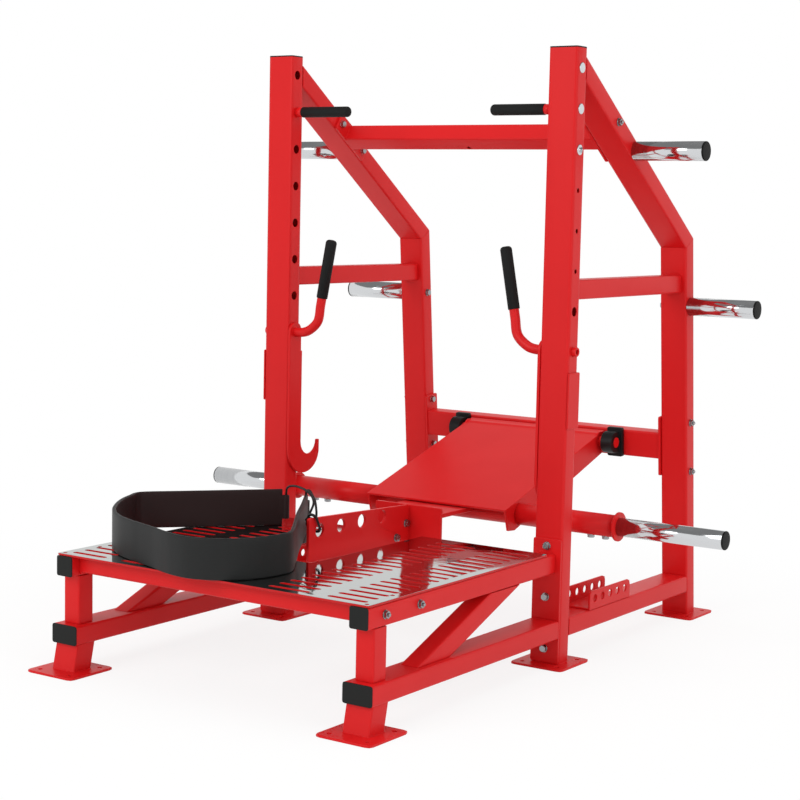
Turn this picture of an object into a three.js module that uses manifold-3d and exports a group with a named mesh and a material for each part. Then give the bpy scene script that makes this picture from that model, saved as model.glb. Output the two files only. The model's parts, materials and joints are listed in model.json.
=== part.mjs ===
import * as THREE from "three";
import { mergeVertices } from "three/addons/utils/BufferGeometryUtils.js";
import Module from "manifold-3d";

// Belt squat machine: a steel frame with a foot platform in front, a weighted lever behind it
// and two hooked catches that hold the lever up.
// Millimetres, +X to the machine's right side, +Y to the back, +Z up.
// Sizes along Y are counted from the front uprights. The finished part is then moved so that its
// origin is on the ground at the centre of the footprint.

const wasm = await Module();
wasm.setup();

// Clearances and finish of the cuts

const SEAT_GAP = 0.3;
const RUNNING_GAP = 0.5;
const WELD_SINK = 0.6;
const OVERRUN = 40;
const REACH = 8000;
const MERGE_REACH = 1e-4;

// How many facets a round form gets

const FACETS = {
  corner: 2,
  slot: 2,
  hex: 6,
  hole: 12,
  bolt: 10,
  tube: 24,
  bend: 5,
  grip: 16,
  wire: 4,
  path: 20,
  belt: 50,
  rope: 60,
};

// Tube stock

const BOX_TUBE = { width: 80, depth: 50, wall: 3, corner: 6 };
const SQUARE_TUBE = { width: 50, depth: 50, wall: 3, corner: 5 };
const PLATE = 6;

// Main places

const SIDE_CENTRE = 440;
const SIDE_OUTER = SIDE_CENTRE + BOX_TUBE.width / 2;
const SIDE_INNER = SIDE_CENTRE - BOX_TUBE.width / 2;
const HOLE_PITCH = 100;
const UPRIGHT_HEIGHT = 1550;
const UPRIGHT_BACK = BOX_TUBE.depth / 2;

const BASE_PLATE = { side: 150, corner: 14, thick: 6, hole: 12, holeInset: 24 };

const BOLT = { acrossCorners: 18, head: 6.5, washer: 20.5, washerThick: 2, stub: 8 };

const UPRIGHT = {
  topInset: 52,
  pivotHeight: 798,
  pinHole: 12,
  innerHole: 24,
  storeHole: 24,
  disc: 24,
  discThick: 1.8,
  lid: 3,
  discRows: 3,
};

// Rows of holes, counted up from the catch's pivot to the last one that the top leaves room for

const ROOM_SHARE = 0.05;
const PIVOT_ROW = UPRIGHT.pivotHeight;
const STORE_ROW = PIVOT_ROW + HOLE_PITCH;
const rowsRoom = (UPRIGHT_HEIGHT - UPRIGHT.topInset - PIVOT_ROW) / HOLE_PITCH;
const TOP_ROW = PIVOT_ROW + Math.floor(rowsRoom + ROOM_SHARE) * HOLE_PITCH;
const GRIP_ROW = TOP_ROW - HOLE_PITCH;

const REAR_UPRIGHT = { foot: 744, lean: Math.tan(THREE.MathUtils.degToRad(5.2)) };
const TOP_BRACE = { startDrop: 23, kneeY: 671, kneeDrop: 471 };
const BRACE_START = UPRIGHT_HEIGHT - TOP_BRACE.startDrop;
const KNEE = { y: TOP_BRACE.kneeY, z: UPRIGHT_HEIGHT - TOP_BRACE.kneeDrop };
const MID_BRACE = { kneeDrop: 153 };

const LOW_RAIL = { bottom: 70, height: 48 };
const LOW_RAIL_TOP = LOW_RAIL.bottom + LOW_RAIL.height;
const DECK_FRONT = -843.5;
const RAIL_FRONT = -842;
const UPPER_RAIL_TOP = 288;
const POST = { front: -820 };
const FOOT_STUB = { width: 72, depth: 60, front: -835, slant: 14 };
const PLATFORM_FOOT = -824;
const DECK_BRACE = { low: -578, high: -267 };
const MOUNT_PLATE = { top: 325, bolts: [307, 176, 43] };

const DECK = {
  half: 465,
  thick: 5,
  rear: -70,
  corner: 6,
  opening: { half: 86, front: -545, corner: 12 },
  slot: { width: 14, pitch: 40.4, rows: 18, firstFromFront: 31.5 },
  inner: { start: 167, end: 282 },
  outer: { start: 333, end: 440 },
  screw: 10,
  frontScrew: { side: 14, front: 13.5 },
  rearScrew: { side: 23, front: 124.5 },
};
const DECK_BOTTOM = UPPER_RAIL_TOP + SEAT_GAP;
const DECK_TOP = DECK_BOTTOM + DECK.thick;

const FRONT_BEAM = {
  front: -818,
  height: 42,
  flangeRear: -610,
  flangeHeight: 46,
  bolts: [-780, -644],
  boltDrop: 2.4,
};

const U_BRACKET = {
  front: 131,
  length: 224,
  height: 49,
  wall: 5,
  corner: 14,
  hole: 21,
  holes: 5,
  holeHeight: 28,
  endInset: 29,
};

const TOP_BEAM = { y: 250, flangeLength: 156, boltSpacing: 122 };
const REAR_BEAM = { z: 490, height: 76, depth: 50, flangeLength: 170, flangeWidth: 58, boltSpacing: 140 };

const HORN = {
  dia: 50,
  wall: 4,
  length: 200,
  capPlug: 14,
  capInset: 2,
  cap: 4,
  upperY: 300,
  lowerDrop: 190,
  plug: 30,
};
const LOWER_HORN = KNEE.z - HORN.lowerDrop;
const TOP_GRIP = { bar: 22, stub: 26, stubLength: 20, sleeve: 28, end: 223 };

// Shares of a cap's thickness and of a grip's radius that shape their rounded ends

const CAP_SHARES = { shoulder: 0.6, dome: 0.35 };
const DOME_SHARES = { height: 0.55, lowRadius: 0.9, lowDrop: 0.45, highRadius: 0.6, highDrop: 0.1 };

// Lever, worked out along its slope from the pivot: u runs forward and down, w runs up

const PIVOT = { y: 640, z: 490 };
const LEVER = {
  slope: THREE.MathUtils.degToRad(17.1),
  half: 225,
  top: 23,
  plate: 6,
  rear: -26,
  front: 538,
  hub: 56,
  hubTube: 50,
  bottomRear: -37,
  bottomFront: -50,
  chin: -38,
  chinStart: 507,
  tubeU: 472.8,
  tubeW: -16.7,
  tube: 58,
  tubeWall: 5,
  tubeEnd: 521,
  collar: 76,
  collarThick: 6,
};
const BEARING = {
  gap: 15,
  baseOffset: 1.5,
  width: 48,
  height: 84,
  base: 12,
  boss: 35,
  bossDia: 61,
  slip: 0.3,
};
const BOSS_CENTRE = LEVER.half + BEARING.gap + BEARING.boss / 2;
const SHAFT = { dia: 30, proud: 2 };
const SHAFT_END = BOSS_CENTRE + BEARING.boss / 2 + SHAFT.proud;
const ARM = { width: 200, thick: 12, corner: 2, rearY: 196, centreZ: 339 };
const TEE = { half: 105, low: 262, high: 361, front: -10, thick: 8, corner: 4 };
const TONGUE = {
  thick: 8,
  front: -450,
  lowFront: 269,
  lowRear: 262,
  highFront: 380,
  highRear: 361,
  corner: 8,
  hole: 35,
  holeZ: 345,
  firstHole: -405,
  pitch: 90,
  holes: 4,
  upperBolt: { y: -24, z: 313 },
  lowerBolt: { y: -69, z: 280 },
};
const TONGUE_BOLTS = [TONGUE.upperBolt, TONGUE.lowerBolt];
const LUG = { thick: 8, front: -95, low: 266, high: 330 };
const SLEEVE = { dia: 48, wall: 4, end: 822, cap: 4, capPlug: 30 };
const SLEEVE_BOLTS = { right: [444, 487], left: [416, 459] };

// Catch, with its heights as drops below the handle pivot

const CATCH = {
  thick: 7,
  saddleWall: 4,
  hubRadius: 26,
  pin: 23.4,
  pinBore: 14,
  pinProud: 12,
  front: -25,
  frontDrop: 328,
  topBack: 25,
  saddleTop: 53,
  saddleLow: 193,
  throat: { y: 67.5, drop: 308, radius: 37.5 },
  tip: { y: 114.5, drop: 308 },
  tipLow: 341,
  heel: { y: 108, drop: 380 },
  toe: { y: 70, drop: 393 },
  sole: { y: 42, drop: 402 },
  chin: { y: 14, drop: 390 },
  jaw: { y: -20, drop: 374 },
};
const CATCH_BACK = CATCH.throat.y - CATCH.throat.radius;
const CATCH_FACE = SIDE_INNER - RUNNING_GAP;
const HANDLE = {
  rod: 25,
  grip: 30,
  bottomX: 305,
  bottomRise: 98,
  topX: 275,
  topRise: 256,
  knee: 350,
  bulge: 318,
};

// Belt set

const BELT = {
  height: 97,
  thick: 10,
  round: 3,
  tab: 5,
  tabHeight: 63,
  roll: 14,
  rollReach: 11,
  eye: 8,
};
const RING = {
  wire: 7,
  half: 13,
  reach: 25,
  centreX: -3,
  tilt: { y: -22, z: 45 },
  topY: -431,
  lift: 3.8,
  gate: 6,
};
const ROPE = { dia: 6, sides: 8 };

// Small helpers for solids

function toSolid(geometry) {
  const bare = geometry.clone();
  bare.deleteAttribute("normal");
  bare.deleteAttribute("uv");
  const merged = mergeVertices(bare, MERGE_REACH);
  return new wasm.Manifold(
    new wasm.Mesh({
      numProp: 3,
      vertProperties: new Float32Array(merged.attributes.position.array),
      triVerts: new Uint32Array(merged.index.array),
    }),
  );
}

function toGeometry(solid) {
  const { numProp, numVert, vertProperties, triVerts } = solid.getMesh();
  const points = new Float32Array(numVert * 3);
  for (let i = 0; i < numVert; i++) {
    points.set(vertProperties.subarray(i * numProp, i * numProp + 3), i * 3);
  }
  const geometry = new THREE.BufferGeometry();
  geometry.setAttribute("position", new THREE.BufferAttribute(points, 3));
  geometry.setIndex(new THREE.BufferAttribute(triVerts, 1));
  const flat = geometry.toNonIndexed();
  flat.computeVertexNormals();
  return flat;
}

const join = (solids) => solids.reduce((all, next) => all.add(next));
const cut = (solid, holes) => holes.reduce((left, hole) => left.subtract(hole), solid);
const at = (x, y, z) => new THREE.Vector3(x, y, z);
const ALONG_X = at(1, 0, 0);
const ALONG_Y = at(0, 1, 0);
const ALONG_Z = at(0, 0, 1);

// The same solid on the other side of the machine.
function mirrored(solid) {
  return solid.mirror([1, 0, 0]);
}

// A closed outline from points, with its corners rounded where a radius is given.
function outline(points, radius = 0) {
  const shape = new THREE.Shape();
  points.forEach((point, i) => {
    const before = points[(i + points.length - 1) % points.length];
    const after = points[(i + 1) % points.length];
    const here = new THREE.Vector2(...point);
    const inward = new THREE.Vector2(...before).sub(here);
    const outward = new THREE.Vector2(...after).sub(here);
    const reach = Math.min(radius, inward.length() / 2, outward.length() / 2);
    const enter = here.clone().add(inward.setLength(reach));
    const leave = here.clone().add(outward.setLength(reach));
    if (i === 0) shape.moveTo(enter.x, enter.y);
    else shape.lineTo(enter.x, enter.y);
    if (reach > 0) shape.quadraticCurveTo(here.x, here.y, leave.x, leave.y);
  });
  shape.closePath();
  return shape;
}

function rectangle(width, height, radius = 0) {
  const [w, h] = [width / 2, height / 2];
  return outline([[-w, -h], [w, -h], [w, h], [-w, h]], radius);
}

// Extrudes a profile from one place to another; its own x axis follows the given direction.
function bar(profile, from, to, across, facets = FACETS.corner) {
  const forward = to.clone().sub(from);
  const depth = forward.length();
  forward.normalize();
  const right = across.clone().normalize();
  const up = forward.clone().cross(right);
  const frame = new THREE.Matrix4().makeBasis(right, up, forward).setPosition(from);
  const geometry = new THREE.ExtrudeGeometry(profile, {
    depth,
    bevelEnabled: false,
    curveSegments: facets,
    steps: 1,
  });
  return toSolid(geometry.applyMatrix4(frame));
}

// A profile drawn in Y and Z, made solid between two places along X.
function sideProfile(profile, x0, x1, facets) {
  return bar(profile, at(x0, 0, 0), at(x1, 0, 0), ALONG_Y, facets);
}

// A profile drawn in X and Y, made solid between two heights.
function flatProfile(profile, z0, z1, facets) {
  return bar(profile, at(0, 0, z0), at(0, 0, z1), ALONG_X, facets);
}

function rod(from, to, radius, facets = FACETS.hole) {
  const length = from.distanceTo(to);
  const geometry = new THREE.CylinderGeometry(radius, radius, length, facets);
  const turn = new THREE.Quaternion().setFromUnitVectors(ALONG_Y, to.clone().sub(from).normalize());
  const middle = from.clone().add(to).multiplyScalar(0.5);
  const frame = new THREE.Matrix4().compose(middle, turn, at(1, 1, 1));
  return toSolid(geometry.applyMatrix4(frame));
}

function hollowTube(stock, from, to, across = ALONG_X) {
  const { width, depth, wall, corner } = stock;
  const forward = to.clone().sub(from).normalize().multiplyScalar(OVERRUN);
  const outer = bar(rectangle(width, depth, corner), from, to, across);
  const bore = rectangle(width - 2 * wall, depth - 2 * wall, corner - wall);
  const inner = bar(bore, from.clone().sub(forward), to.clone().add(forward), across);
  return outer.subtract(inner);
}

// Everything beyond a plane, to cut a mitre with.
function beyond(point, normal) {
  const block = new THREE.BoxGeometry(REACH, REACH, REACH).translate(0, 0, REACH / 2);
  const turn = new THREE.Quaternion().setFromUnitVectors(ALONG_Z, normal.clone().normalize());
  return toSolid(block.applyMatrix4(new THREE.Matrix4().compose(point, turn, at(1, 1, 1))));
}

// Hex head on its washer, its face against a plate at the point and looking along the normal.
function boltHead(point, normal, proud = 0) {
  const out = normal.clone().normalize();
  const step = (distance) => point.clone().addScaledVector(out, distance);
  const washer = rod(step(-WELD_SINK), step(BOLT.washerThick), BOLT.washer / 2, FACETS.hole);
  const top = BOLT.washerThick + BOLT.head;
  const head = rod(step(0), step(top), BOLT.acrossCorners / 2, FACETS.hex);
  const parts = [washer, head];
  if (proud > 0) parts.push(rod(step(0), step(top + proud), BOLT.stub / 2, FACETS.bolt));
  return join(parts);
}

const sheetThrough = (x, y, radius, low, high) =>
  rod(at(x, y, low), at(x, y, high), radius, FACETS.bolt);

// Finishes

const finish = (color, roughness, metalness) => ({ color, roughness, metalness });
const RED = finish("#c8282a", 0.42, 0.1);
const BLACK_PLASTIC = finish("#26282a", 0.6, 0);
const RUBBER = finish("#1e1f20", 0.85, 0);
const CHROME = finish("#d4d6d8", 0.15, 1);
const DECK_STEEL = finish("#b4b8b5", 0.22, 1);
const BLACK_CAST = finish("#2a2b2c", 0.55, 0.4);
const WEBBING = finish("#232426", 0.9, 0);
const BLACK_STEEL = finish("#2b2c2e", 0.4, 0.7);

const machine = new THREE.Group();
machine.name = "belt_squat_machine";
const footprint = new THREE.Group();
footprint.name = "footprint";
footprint.position.y = -(PLATFORM_FOOT + REAR_UPRIGHT.foot) / 2;
machine.add(footprint);

function addPiece(group, name, solid, look) {
  const mesh = new THREE.Mesh(toGeometry(solid), new THREE.MeshStandardMaterial(look));
  mesh.name = name;
  group.add(mesh);
}

// Adds the right-hand solid and its mirror image.
function addPair(group, name, solid, look) {
  addPiece(group, name + "_right", solid, look);
  addPiece(group, name + "_left", mirrored(solid), look);
}

function subGroup(name) {
  const group = new THREE.Group();
  group.name = name;
  footprint.add(group);
  return group;
}

// Square foot with four screw holes

function basePlate(y) {
  const { side, corner, thick, hole, holeInset } = BASE_PLATE;
  const reach = side / 2 - holeInset;
  const plate = bar(
    rectangle(side, side, corner),
    at(SIDE_CENTRE, y, 0),
    at(SIDE_CENTRE, y, thick),
    ALONG_X,
  );
  const holes = [];
  for (const dx of [-reach, reach]) {
    for (const dy of [-reach, reach]) {
      holes.push(sheetThrough(SIDE_CENTRE + dx, y + dy, hole / 2, -OVERRUN, OVERRUN));
    }
  }
  return cut(plate, holes);
}

// Side frame lines that several pieces share

const rearFront = (z) => REAR_UPRIGHT.foot - z * REAR_UPRIGHT.lean - rearHalfDepth;
const rearCentre = (z) => REAR_UPRIGHT.foot - z * REAR_UPRIGHT.lean;
const leanLength = Math.hypot(1, REAR_UPRIGHT.lean);
const rearHalfDepth = (BOX_TUBE.depth / 2) * leanLength;
const rearUp = at(0, -REAR_UPRIGHT.lean, 1).normalize();
const rearNormal = at(0, -1, -REAR_UPRIGHT.lean).normalize();
const braceRun = at(
  0,
  KNEE.y - UPRIGHT_BACK,
  KNEE.z - BRACE_START,
).normalize();
const braceUp = at(0, -braceRun.z, braceRun.y);
const braceTop = at(SIDE_CENTRE, UPRIGHT_BACK, BRACE_START);
const braceLine = braceTop.clone().addScaledVector(braceUp, -BOX_TUBE.depth / 2);
const onBrace = (y) => braceLine.clone().addScaledVector(braceRun, (y - braceLine.y) / braceRun.y);

// The mitre between the top brace and the rear upright runs from the outer corner of the two
// tubes to their inner one.
const mitre = (() => {
  const outer = at(SIDE_CENTRE, KNEE.y, KNEE.z);
  const low = braceTop.clone().addScaledVector(braceUp, -BOX_TUBE.depth);
  const slope = braceRun.z / braceRun.y;
  const innerZ = (low.z + (REAR_UPRIGHT.foot - rearHalfDepth - low.y) * slope) /
    (1 + REAR_UPRIGHT.lean * slope);
  const inner = at(SIDE_CENTRE, rearFront(innerZ), innerZ);
  const along = outer.clone().sub(inner).normalize();
  return { point: outer, up: at(0, -along.z, along.y) };
})();

// Front uprights

function frontUpright() {
  const foot = at(SIDE_CENTRE, 0, BASE_PLATE.thick - WELD_SINK);
  const top = at(SIDE_CENTRE, 0, UPRIGHT_HEIGHT);
  const tube = hollowTube(BOX_TUBE, foot, top);
  const lid = bar(
    rectangle(BOX_TUBE.width, BOX_TUBE.depth, BOX_TUBE.corner),
    at(SIDE_CENTRE, 0, UPRIGHT_HEIGHT - UPRIGHT.lid),
    top,
    ALONG_X,
  );
  const across = (z, radius, from, to) => rod(at(from, 0, z), at(to, 0, z), radius);
  const holes = [];
  const discs = [];
  for (let row = 0; row < UPRIGHT.discRows; row++) {
    const z = TOP_ROW - row * HOLE_PITCH;
    const proud = SIDE_OUTER + UPRIGHT.discThick;
    discs.push(across(z, UPRIGHT.disc / 2, SIDE_OUTER - WELD_SINK, proud));
    if (z !== GRIP_ROW) {
      holes.push(across(z, UPRIGHT.innerHole / 2, SIDE_INNER - OVERRUN, SIDE_CENTRE));
    }
  }
  const pinRows = Math.round((TOP_ROW - STORE_ROW) / HOLE_PITCH) - UPRIGHT.discRows;
  for (let row = 1; row <= pinRows; row++) {
    const z = STORE_ROW + row * HOLE_PITCH;
    holes.push(across(z, UPRIGHT.innerHole / 2, SIDE_INNER - OVERRUN, SIDE_CENTRE));
    holes.push(across(z, UPRIGHT.pinHole / 2, SIDE_CENTRE, SIDE_OUTER + OVERRUN));
  }
  const through = [SIDE_INNER - OVERRUN, SIDE_OUTER + OVERRUN];
  holes.push(across(STORE_ROW, UPRIGHT.storeHole / 2, ...through));
  holes.push(across(PIVOT_ROW, CATCH.pin / 2 + RUNNING_GAP, ...through));
  return cut(join([tube, lid, basePlate(0), ...discs]), holes);
}

const frontFrame = subGroup("front_uprights");
addPair(frontFrame, "front_upright", frontUpright(), RED);

// Rear uprights, with the nuts of the rear crossbeam on their outer faces and the horn bolt
// on the inner one

function rearUpright() {
  const foot = at(SIDE_CENTRE, rearCentre(0), 0).addScaledVector(rearUp, -OVERRUN);
  const top = at(SIDE_CENTRE, rearCentre(0), 0).addScaledVector(rearUp, UPRIGHT_HEIGHT);
  const tube = hollowTube(BOX_TUBE, foot, top)
    .subtract(beyond(mitre.point, mitre.up))
    .subtract(beyond(at(0, 0, BASE_PLATE.thick - WELD_SINK), at(0, 0, -1)));
  const bolts = [];
  for (const side of [-1, 1]) {
    const point = at(SIDE_OUTER, rearCentre(REAR_BEAM.z), REAR_BEAM.z);
    point.addScaledVector(rearUp, (side * REAR_BEAM.boltSpacing) / 2);
    bolts.push(boltHead(point, ALONG_X, BOLT.stub / 2));
  }
  const hornBolt = at(SIDE_INNER, rearCentre(LOWER_HORN), LOWER_HORN);
  bolts.push(boltHead(hornBolt, at(-1, 0, 0)));
  return join([tube, basePlate(REAR_UPRIGHT.foot), ...bolts]);
}

const rearFrame = subGroup("rear_uprights");
addPair(rearFrame, "rear_upright", rearUpright(), RED);

// Braces and rear rails of the side frames

function topBrace() {
  const behind = braceLine.clone().addScaledVector(braceRun, -OVERRUN);
  const past = onBrace(KNEE.y).addScaledVector(braceRun, OVERRUN);
  const lift = mitre.up.clone().multiplyScalar(SEAT_GAP);
  const tube = hollowTube(BOX_TUBE, behind, past)
    .subtract(beyond(at(0, UPRIGHT_BACK + SEAT_GAP, 0), at(0, -1, 0)))
    .subtract(beyond(mitre.point.clone().add(lift), mitre.up.clone().negate()));
  // The horn covers the rear one of the two crossbeam bolts.
  const bolt = onBrace(TOP_BEAM.y).addScaledVector(braceRun, -TOP_BEAM.boltSpacing / 2);
  return tube.add(boltHead(bolt.setX(SIDE_OUTER), ALONG_X, BOLT.stub / 2));
}

function sideRail(stock, bottom, from, to) {
  const z = bottom + stock.depth / 2;
  return hollowTube(stock, at(SIDE_CENTRE, from, z), at(SIDE_CENTRE, to, z));
}

const LOW_STOCK = { ...BOX_TUBE, depth: LOW_RAIL.height };
const behindUpright = UPRIGHT_BACK + SEAT_GAP;

function upToRearUpright(stock, bottom) {
  const past = rearFront(bottom) + OVERRUN;
  const face = at(0, rearFront(bottom) - SEAT_GAP, bottom);
  return sideRail(stock, bottom, behindUpright, past).subtract(
    beyond(face, rearNormal.clone().negate()),
  );
}

const sideFrame = subGroup("side_frames");
addPair(sideFrame, "top_brace", topBrace(), RED);
addPair(sideFrame, "mid_brace", upToRearUpright(SQUARE_TUBE, KNEE.z - MID_BRACE.kneeDrop), RED);
addPair(sideFrame, "rear_rail", upToRearUpright(LOW_STOCK, LOW_RAIL.bottom), RED);

// Channel bracket on the rear rail, open to the top and to both ends

function channelBracket() {
  const { front, length, height, wall, corner, hole, holes, holeHeight, endInset } = U_BRACKET;
  const low = LOW_RAIL_TOP + SEAT_GAP;
  const half = BOX_TUBE.width / 2;
  const back = front + length;
  const sunk = low - corner;
  const cheekOutline = outline(
    [[front, sunk], [back, sunk], [back, low + height], [front, low + height]],
    corner,
  );
  const cheeks = [
    sideProfile(cheekOutline, SIDE_CENTRE - half, SIDE_CENTRE - half + wall),
    sideProfile(cheekOutline, SIDE_CENTRE + half - wall, SIDE_CENTRE + half),
  ];
  const floor = bar(
    rectangle(BOX_TUBE.width, length),
    at(SIDE_CENTRE, front + length / 2, low),
    at(SIDE_CENTRE, front + length / 2, low + wall),
    ALONG_X,
  );
  const bracket = join([...cheeks, floor]).subtract(beyond(at(0, 0, low), at(0, 0, -1)));
  const pitch = (length - 2 * endInset) / (holes - 1);
  const bores = [];
  for (let i = 0; i < holes; i++) {
    const y = front + endInset + i * pitch;
    const z = low + holeHeight;
    const [from, to] = [at(SIDE_INNER - OVERRUN, y, z), at(SIDE_OUTER + OVERRUN, y, z)];
    bores.push(rod(from, to, hole / 2, FACETS.bolt));
  }
  return cut(bracket, bores);
}

addPair(sideFrame, "channel_bracket", channelBracket(), RED);

// Crossbeams with their bolted end flanges

function crossbeam({ stock, centre, across, along, flangeWidth, flangeLength, boltSpacing }) {
  const flangeFace = SIDE_INNER - SEAT_GAP;
  const innerFace = flangeFace - PLATE;
  const [left, right] = [centre.clone().setX(-innerFace), centre.clone().setX(innerFace)];
  const beam = hollowTube(stock, left, right, across);
  const flangeProfile = rectangle(flangeWidth, flangeLength, SQUARE_TUBE.corner);
  const parts = [beam];
  for (const side of [-1, 1]) {
    const from = centre.clone().setX(side * (innerFace - WELD_SINK));
    const to = centre.clone().setX(side * flangeFace);
    parts.push(bar(flangeProfile, from, to, across));
    for (const end of [-1, 1]) {
      const point = centre.clone().addScaledVector(along, (end * boltSpacing) / 2);
      point.setX(side * (innerFace - WELD_SINK));
      parts.push(boltHead(point, at(-side, 0, 0)));
    }
  }
  // A drain hole in the underside of the beam keeps its inside open.
  const drain = rod(
    at(0, centre.y, centre.z - stock.width),
    at(0, centre.y, centre.z),
    UPRIGHT.pinHole / 2,
    FACETS.bolt,
  );
  return cut(join(parts), [drain]);
}

const crossFrame = subGroup("crossbeams");
addPiece(
  crossFrame,
  "top_crossbeam",
  crossbeam({
    stock: SQUARE_TUBE,
    centre: onBrace(TOP_BEAM.y),
    across: braceUp,
    along: braceRun,
    flangeWidth: SQUARE_TUBE.width,
    flangeLength: TOP_BEAM.flangeLength,
    boltSpacing: TOP_BEAM.boltSpacing,
  }),
  RED,
);
addPiece(
  crossFrame,
  "rear_crossbeam",
  crossbeam({
    stock: { ...SQUARE_TUBE, depth: REAR_BEAM.height },
    centre: at(0, rearCentre(REAR_BEAM.z), REAR_BEAM.z),
    across: rearNormal,
    along: rearUp,
    flangeWidth: REAR_BEAM.flangeWidth,
    flangeLength: REAR_BEAM.flangeLength,
    boltSpacing: REAR_BEAM.boltSpacing,
  }),
  RED,
);

// Storage horns with end caps

function horn(y, z) {
  const face = SIDE_OUTER + SEAT_GAP;
  const end = SIDE_OUTER + HORN.length - HORN.capInset;
  const outer = rod(at(face, y, z), at(end, y, z), HORN.dia / 2, FACETS.tube);
  const bore = rod(
    at(face + HORN.plug, y, z),
    at(end + OVERRUN, y, z),
    HORN.dia / 2 - HORN.wall,
    FACETS.tube,
  );
  return outer.subtract(bore);
}

// Domed cap whose plug fills the mouth of a round tube.
function roundCap(x, y, z, dia, wall, lip, plugLength, facets = FACETS.tube) {
  const bore = dia / 2 - wall - SEAT_GAP;
  const start = x + SEAT_GAP;
  const profile = [
    [0, -plugLength],
    [bore, -plugLength],
    [bore, 0],
    [dia / 2, 0],
    [dia / 2, lip * CAP_SHARES.shoulder],
    [dia / 2 - lip * CAP_SHARES.dome, lip],
    [0, lip],
  ].map(([radius, height]) => new THREE.Vector2(radius, height));
  const geometry = new THREE.LatheGeometry(profile, facets);
  const turn = new THREE.Matrix4().makeRotationZ(-Math.PI / 2).setPosition(start, y, z);
  return toSolid(geometry.applyMatrix4(turn));
}

const storage = subGroup("storage_horns");
const hornPlaces = {
  upper: onBrace(HORN.upperY),
  lower: at(0, rearCentre(LOWER_HORN), LOWER_HORN),
};
for (const [level, place] of Object.entries(hornPlaces)) {
  const capStart = SIDE_OUTER + HORN.length - HORN.capInset;
  addPair(storage, `${level}_horn`, horn(place.y, place.z), CHROME);
  addPair(
    storage,
    `${level}_horn_cap`,
    roundCap(capStart, place.y, place.z, HORN.dia, HORN.wall, HORN.cap, HORN.capPlug),
    BLACK_PLASTIC,
  );
}

// Upper hand grips: a bar on a painted stub, and a rubber sleeve pushed over it

function gripBar() {
  const face = at(SIDE_INNER - SEAT_GAP, 0, GRIP_ROW);
  const stubEnd = at(face.x - TOP_GRIP.stubLength, 0, GRIP_ROW);
  const barEnd = at(TOP_GRIP.end + TOP_GRIP.bar / 2, 0, GRIP_ROW);
  const stub = rod(stubEnd, face, TOP_GRIP.stub / 2, FACETS.grip);
  return stub.add(rod(barEnd, face, TOP_GRIP.bar / 2, FACETS.grip));
}

// Rubber sleeve, open at one end and domed at the other, along a straight line.
function rubberSleeve(open, closed, outerDia, barDia) {
  const length = open.distanceTo(closed);
  const outer = outerDia / 2;
  const bore = barDia / 2 + SEAT_GAP;
  const dome = outer * DOME_SHARES.height;
  const floor = length - barDia / 2 + SEAT_GAP * 2;
  const profile = [
    [bore, 0],
    [outer, 0],
    [outer, length - dome],
    [outer * DOME_SHARES.lowRadius, length - dome * DOME_SHARES.lowDrop],
    [outer * DOME_SHARES.highRadius, length - dome * DOME_SHARES.highDrop],
    [0, length],
    [0, floor],
    [bore, floor],
    [bore, 0],
  ].map(([radius, height]) => new THREE.Vector2(radius, height));
  const geometry = new THREE.LatheGeometry(profile, FACETS.grip);
  const turn = new THREE.Quaternion().setFromUnitVectors(ALONG_Y, closed.clone().sub(open).normalize());
  return toSolid(geometry.applyMatrix4(new THREE.Matrix4().compose(open, turn, at(1, 1, 1))));
}

const handGrips = subGroup("upper_grips");
const sleeveStart = SIDE_INNER - SEAT_GAP - TOP_GRIP.stubLength - SEAT_GAP;
addPair(handGrips, "upper_grip_bar", gripBar(), RED);
addPair(
  handGrips,
  "upper_grip_sleeve",
  rubberSleeve(
    at(sleeveStart, 0, GRIP_ROW),
    at(TOP_GRIP.end, 0, GRIP_ROW),
    TOP_GRIP.sleeve,
    TOP_GRIP.bar,
  ),
  RUBBER,
);

// Platform side frames

const platform = subGroup("platform");
const mountFront = -UPRIGHT_BACK - SEAT_GAP - PLATE;

function mountPlate() {
  const low = BASE_PLATE.thick + SEAT_GAP;
  const middle = (MOUNT_PLATE.top + low) / 2;
  const plate = bar(
    rectangle(BOX_TUBE.width, MOUNT_PLATE.top - low, BOX_TUBE.corner),
    at(SIDE_CENTRE, -UPRIGHT_BACK - SEAT_GAP, middle),
    at(SIDE_CENTRE, mountFront, middle),
    ALONG_X,
  );
  const bolts = MOUNT_PLATE.bolts.map((z) => {
    return boltHead(at(SIDE_CENTRE, mountFront, z), at(0, -1, 0));
  });
  return join([plate, ...bolts]);
}

function platformLowRail() {
  const rail = sideRail(LOW_STOCK, LOW_RAIL.bottom, RAIL_FRONT, mountFront - SEAT_GAP);
  const { width, depth, front, slant } = FOOT_STUB;
  const stock = { ...SQUARE_TUBE, width, depth };
  const down = LOW_RAIL.bottom;
  const upper = at(SIDE_CENTRE, front + depth / 2, down);
  const lower = at(SIDE_CENTRE, front + depth / 2 - slant, BASE_PLATE.thick);
  const lean = upper.clone().sub(lower).normalize().multiplyScalar(OVERRUN / 2);
  const stub = hollowTube(stock, lower.clone().sub(lean), upper.clone().add(lean))
    .subtract(beyond(at(0, 0, LOW_RAIL.bottom + WELD_SINK), ALONG_Z))
    .subtract(beyond(at(0, 0, BASE_PLATE.thick - WELD_SINK), at(0, 0, -1)));
  // A vent between the rail and its foot, as such closed tubes have.
  const vent = rod(
    at(SIDE_CENTRE, upper.y, LOW_RAIL.bottom - OVERRUN / 2),
    at(SIDE_CENTRE, upper.y, LOW_RAIL.bottom + OVERRUN / 2),
    UPRIGHT.pinHole / 2,
    FACETS.bolt,
  );
  return join([rail, stub, basePlate(PLATFORM_FOOT)]).subtract(vent);
}

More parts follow.
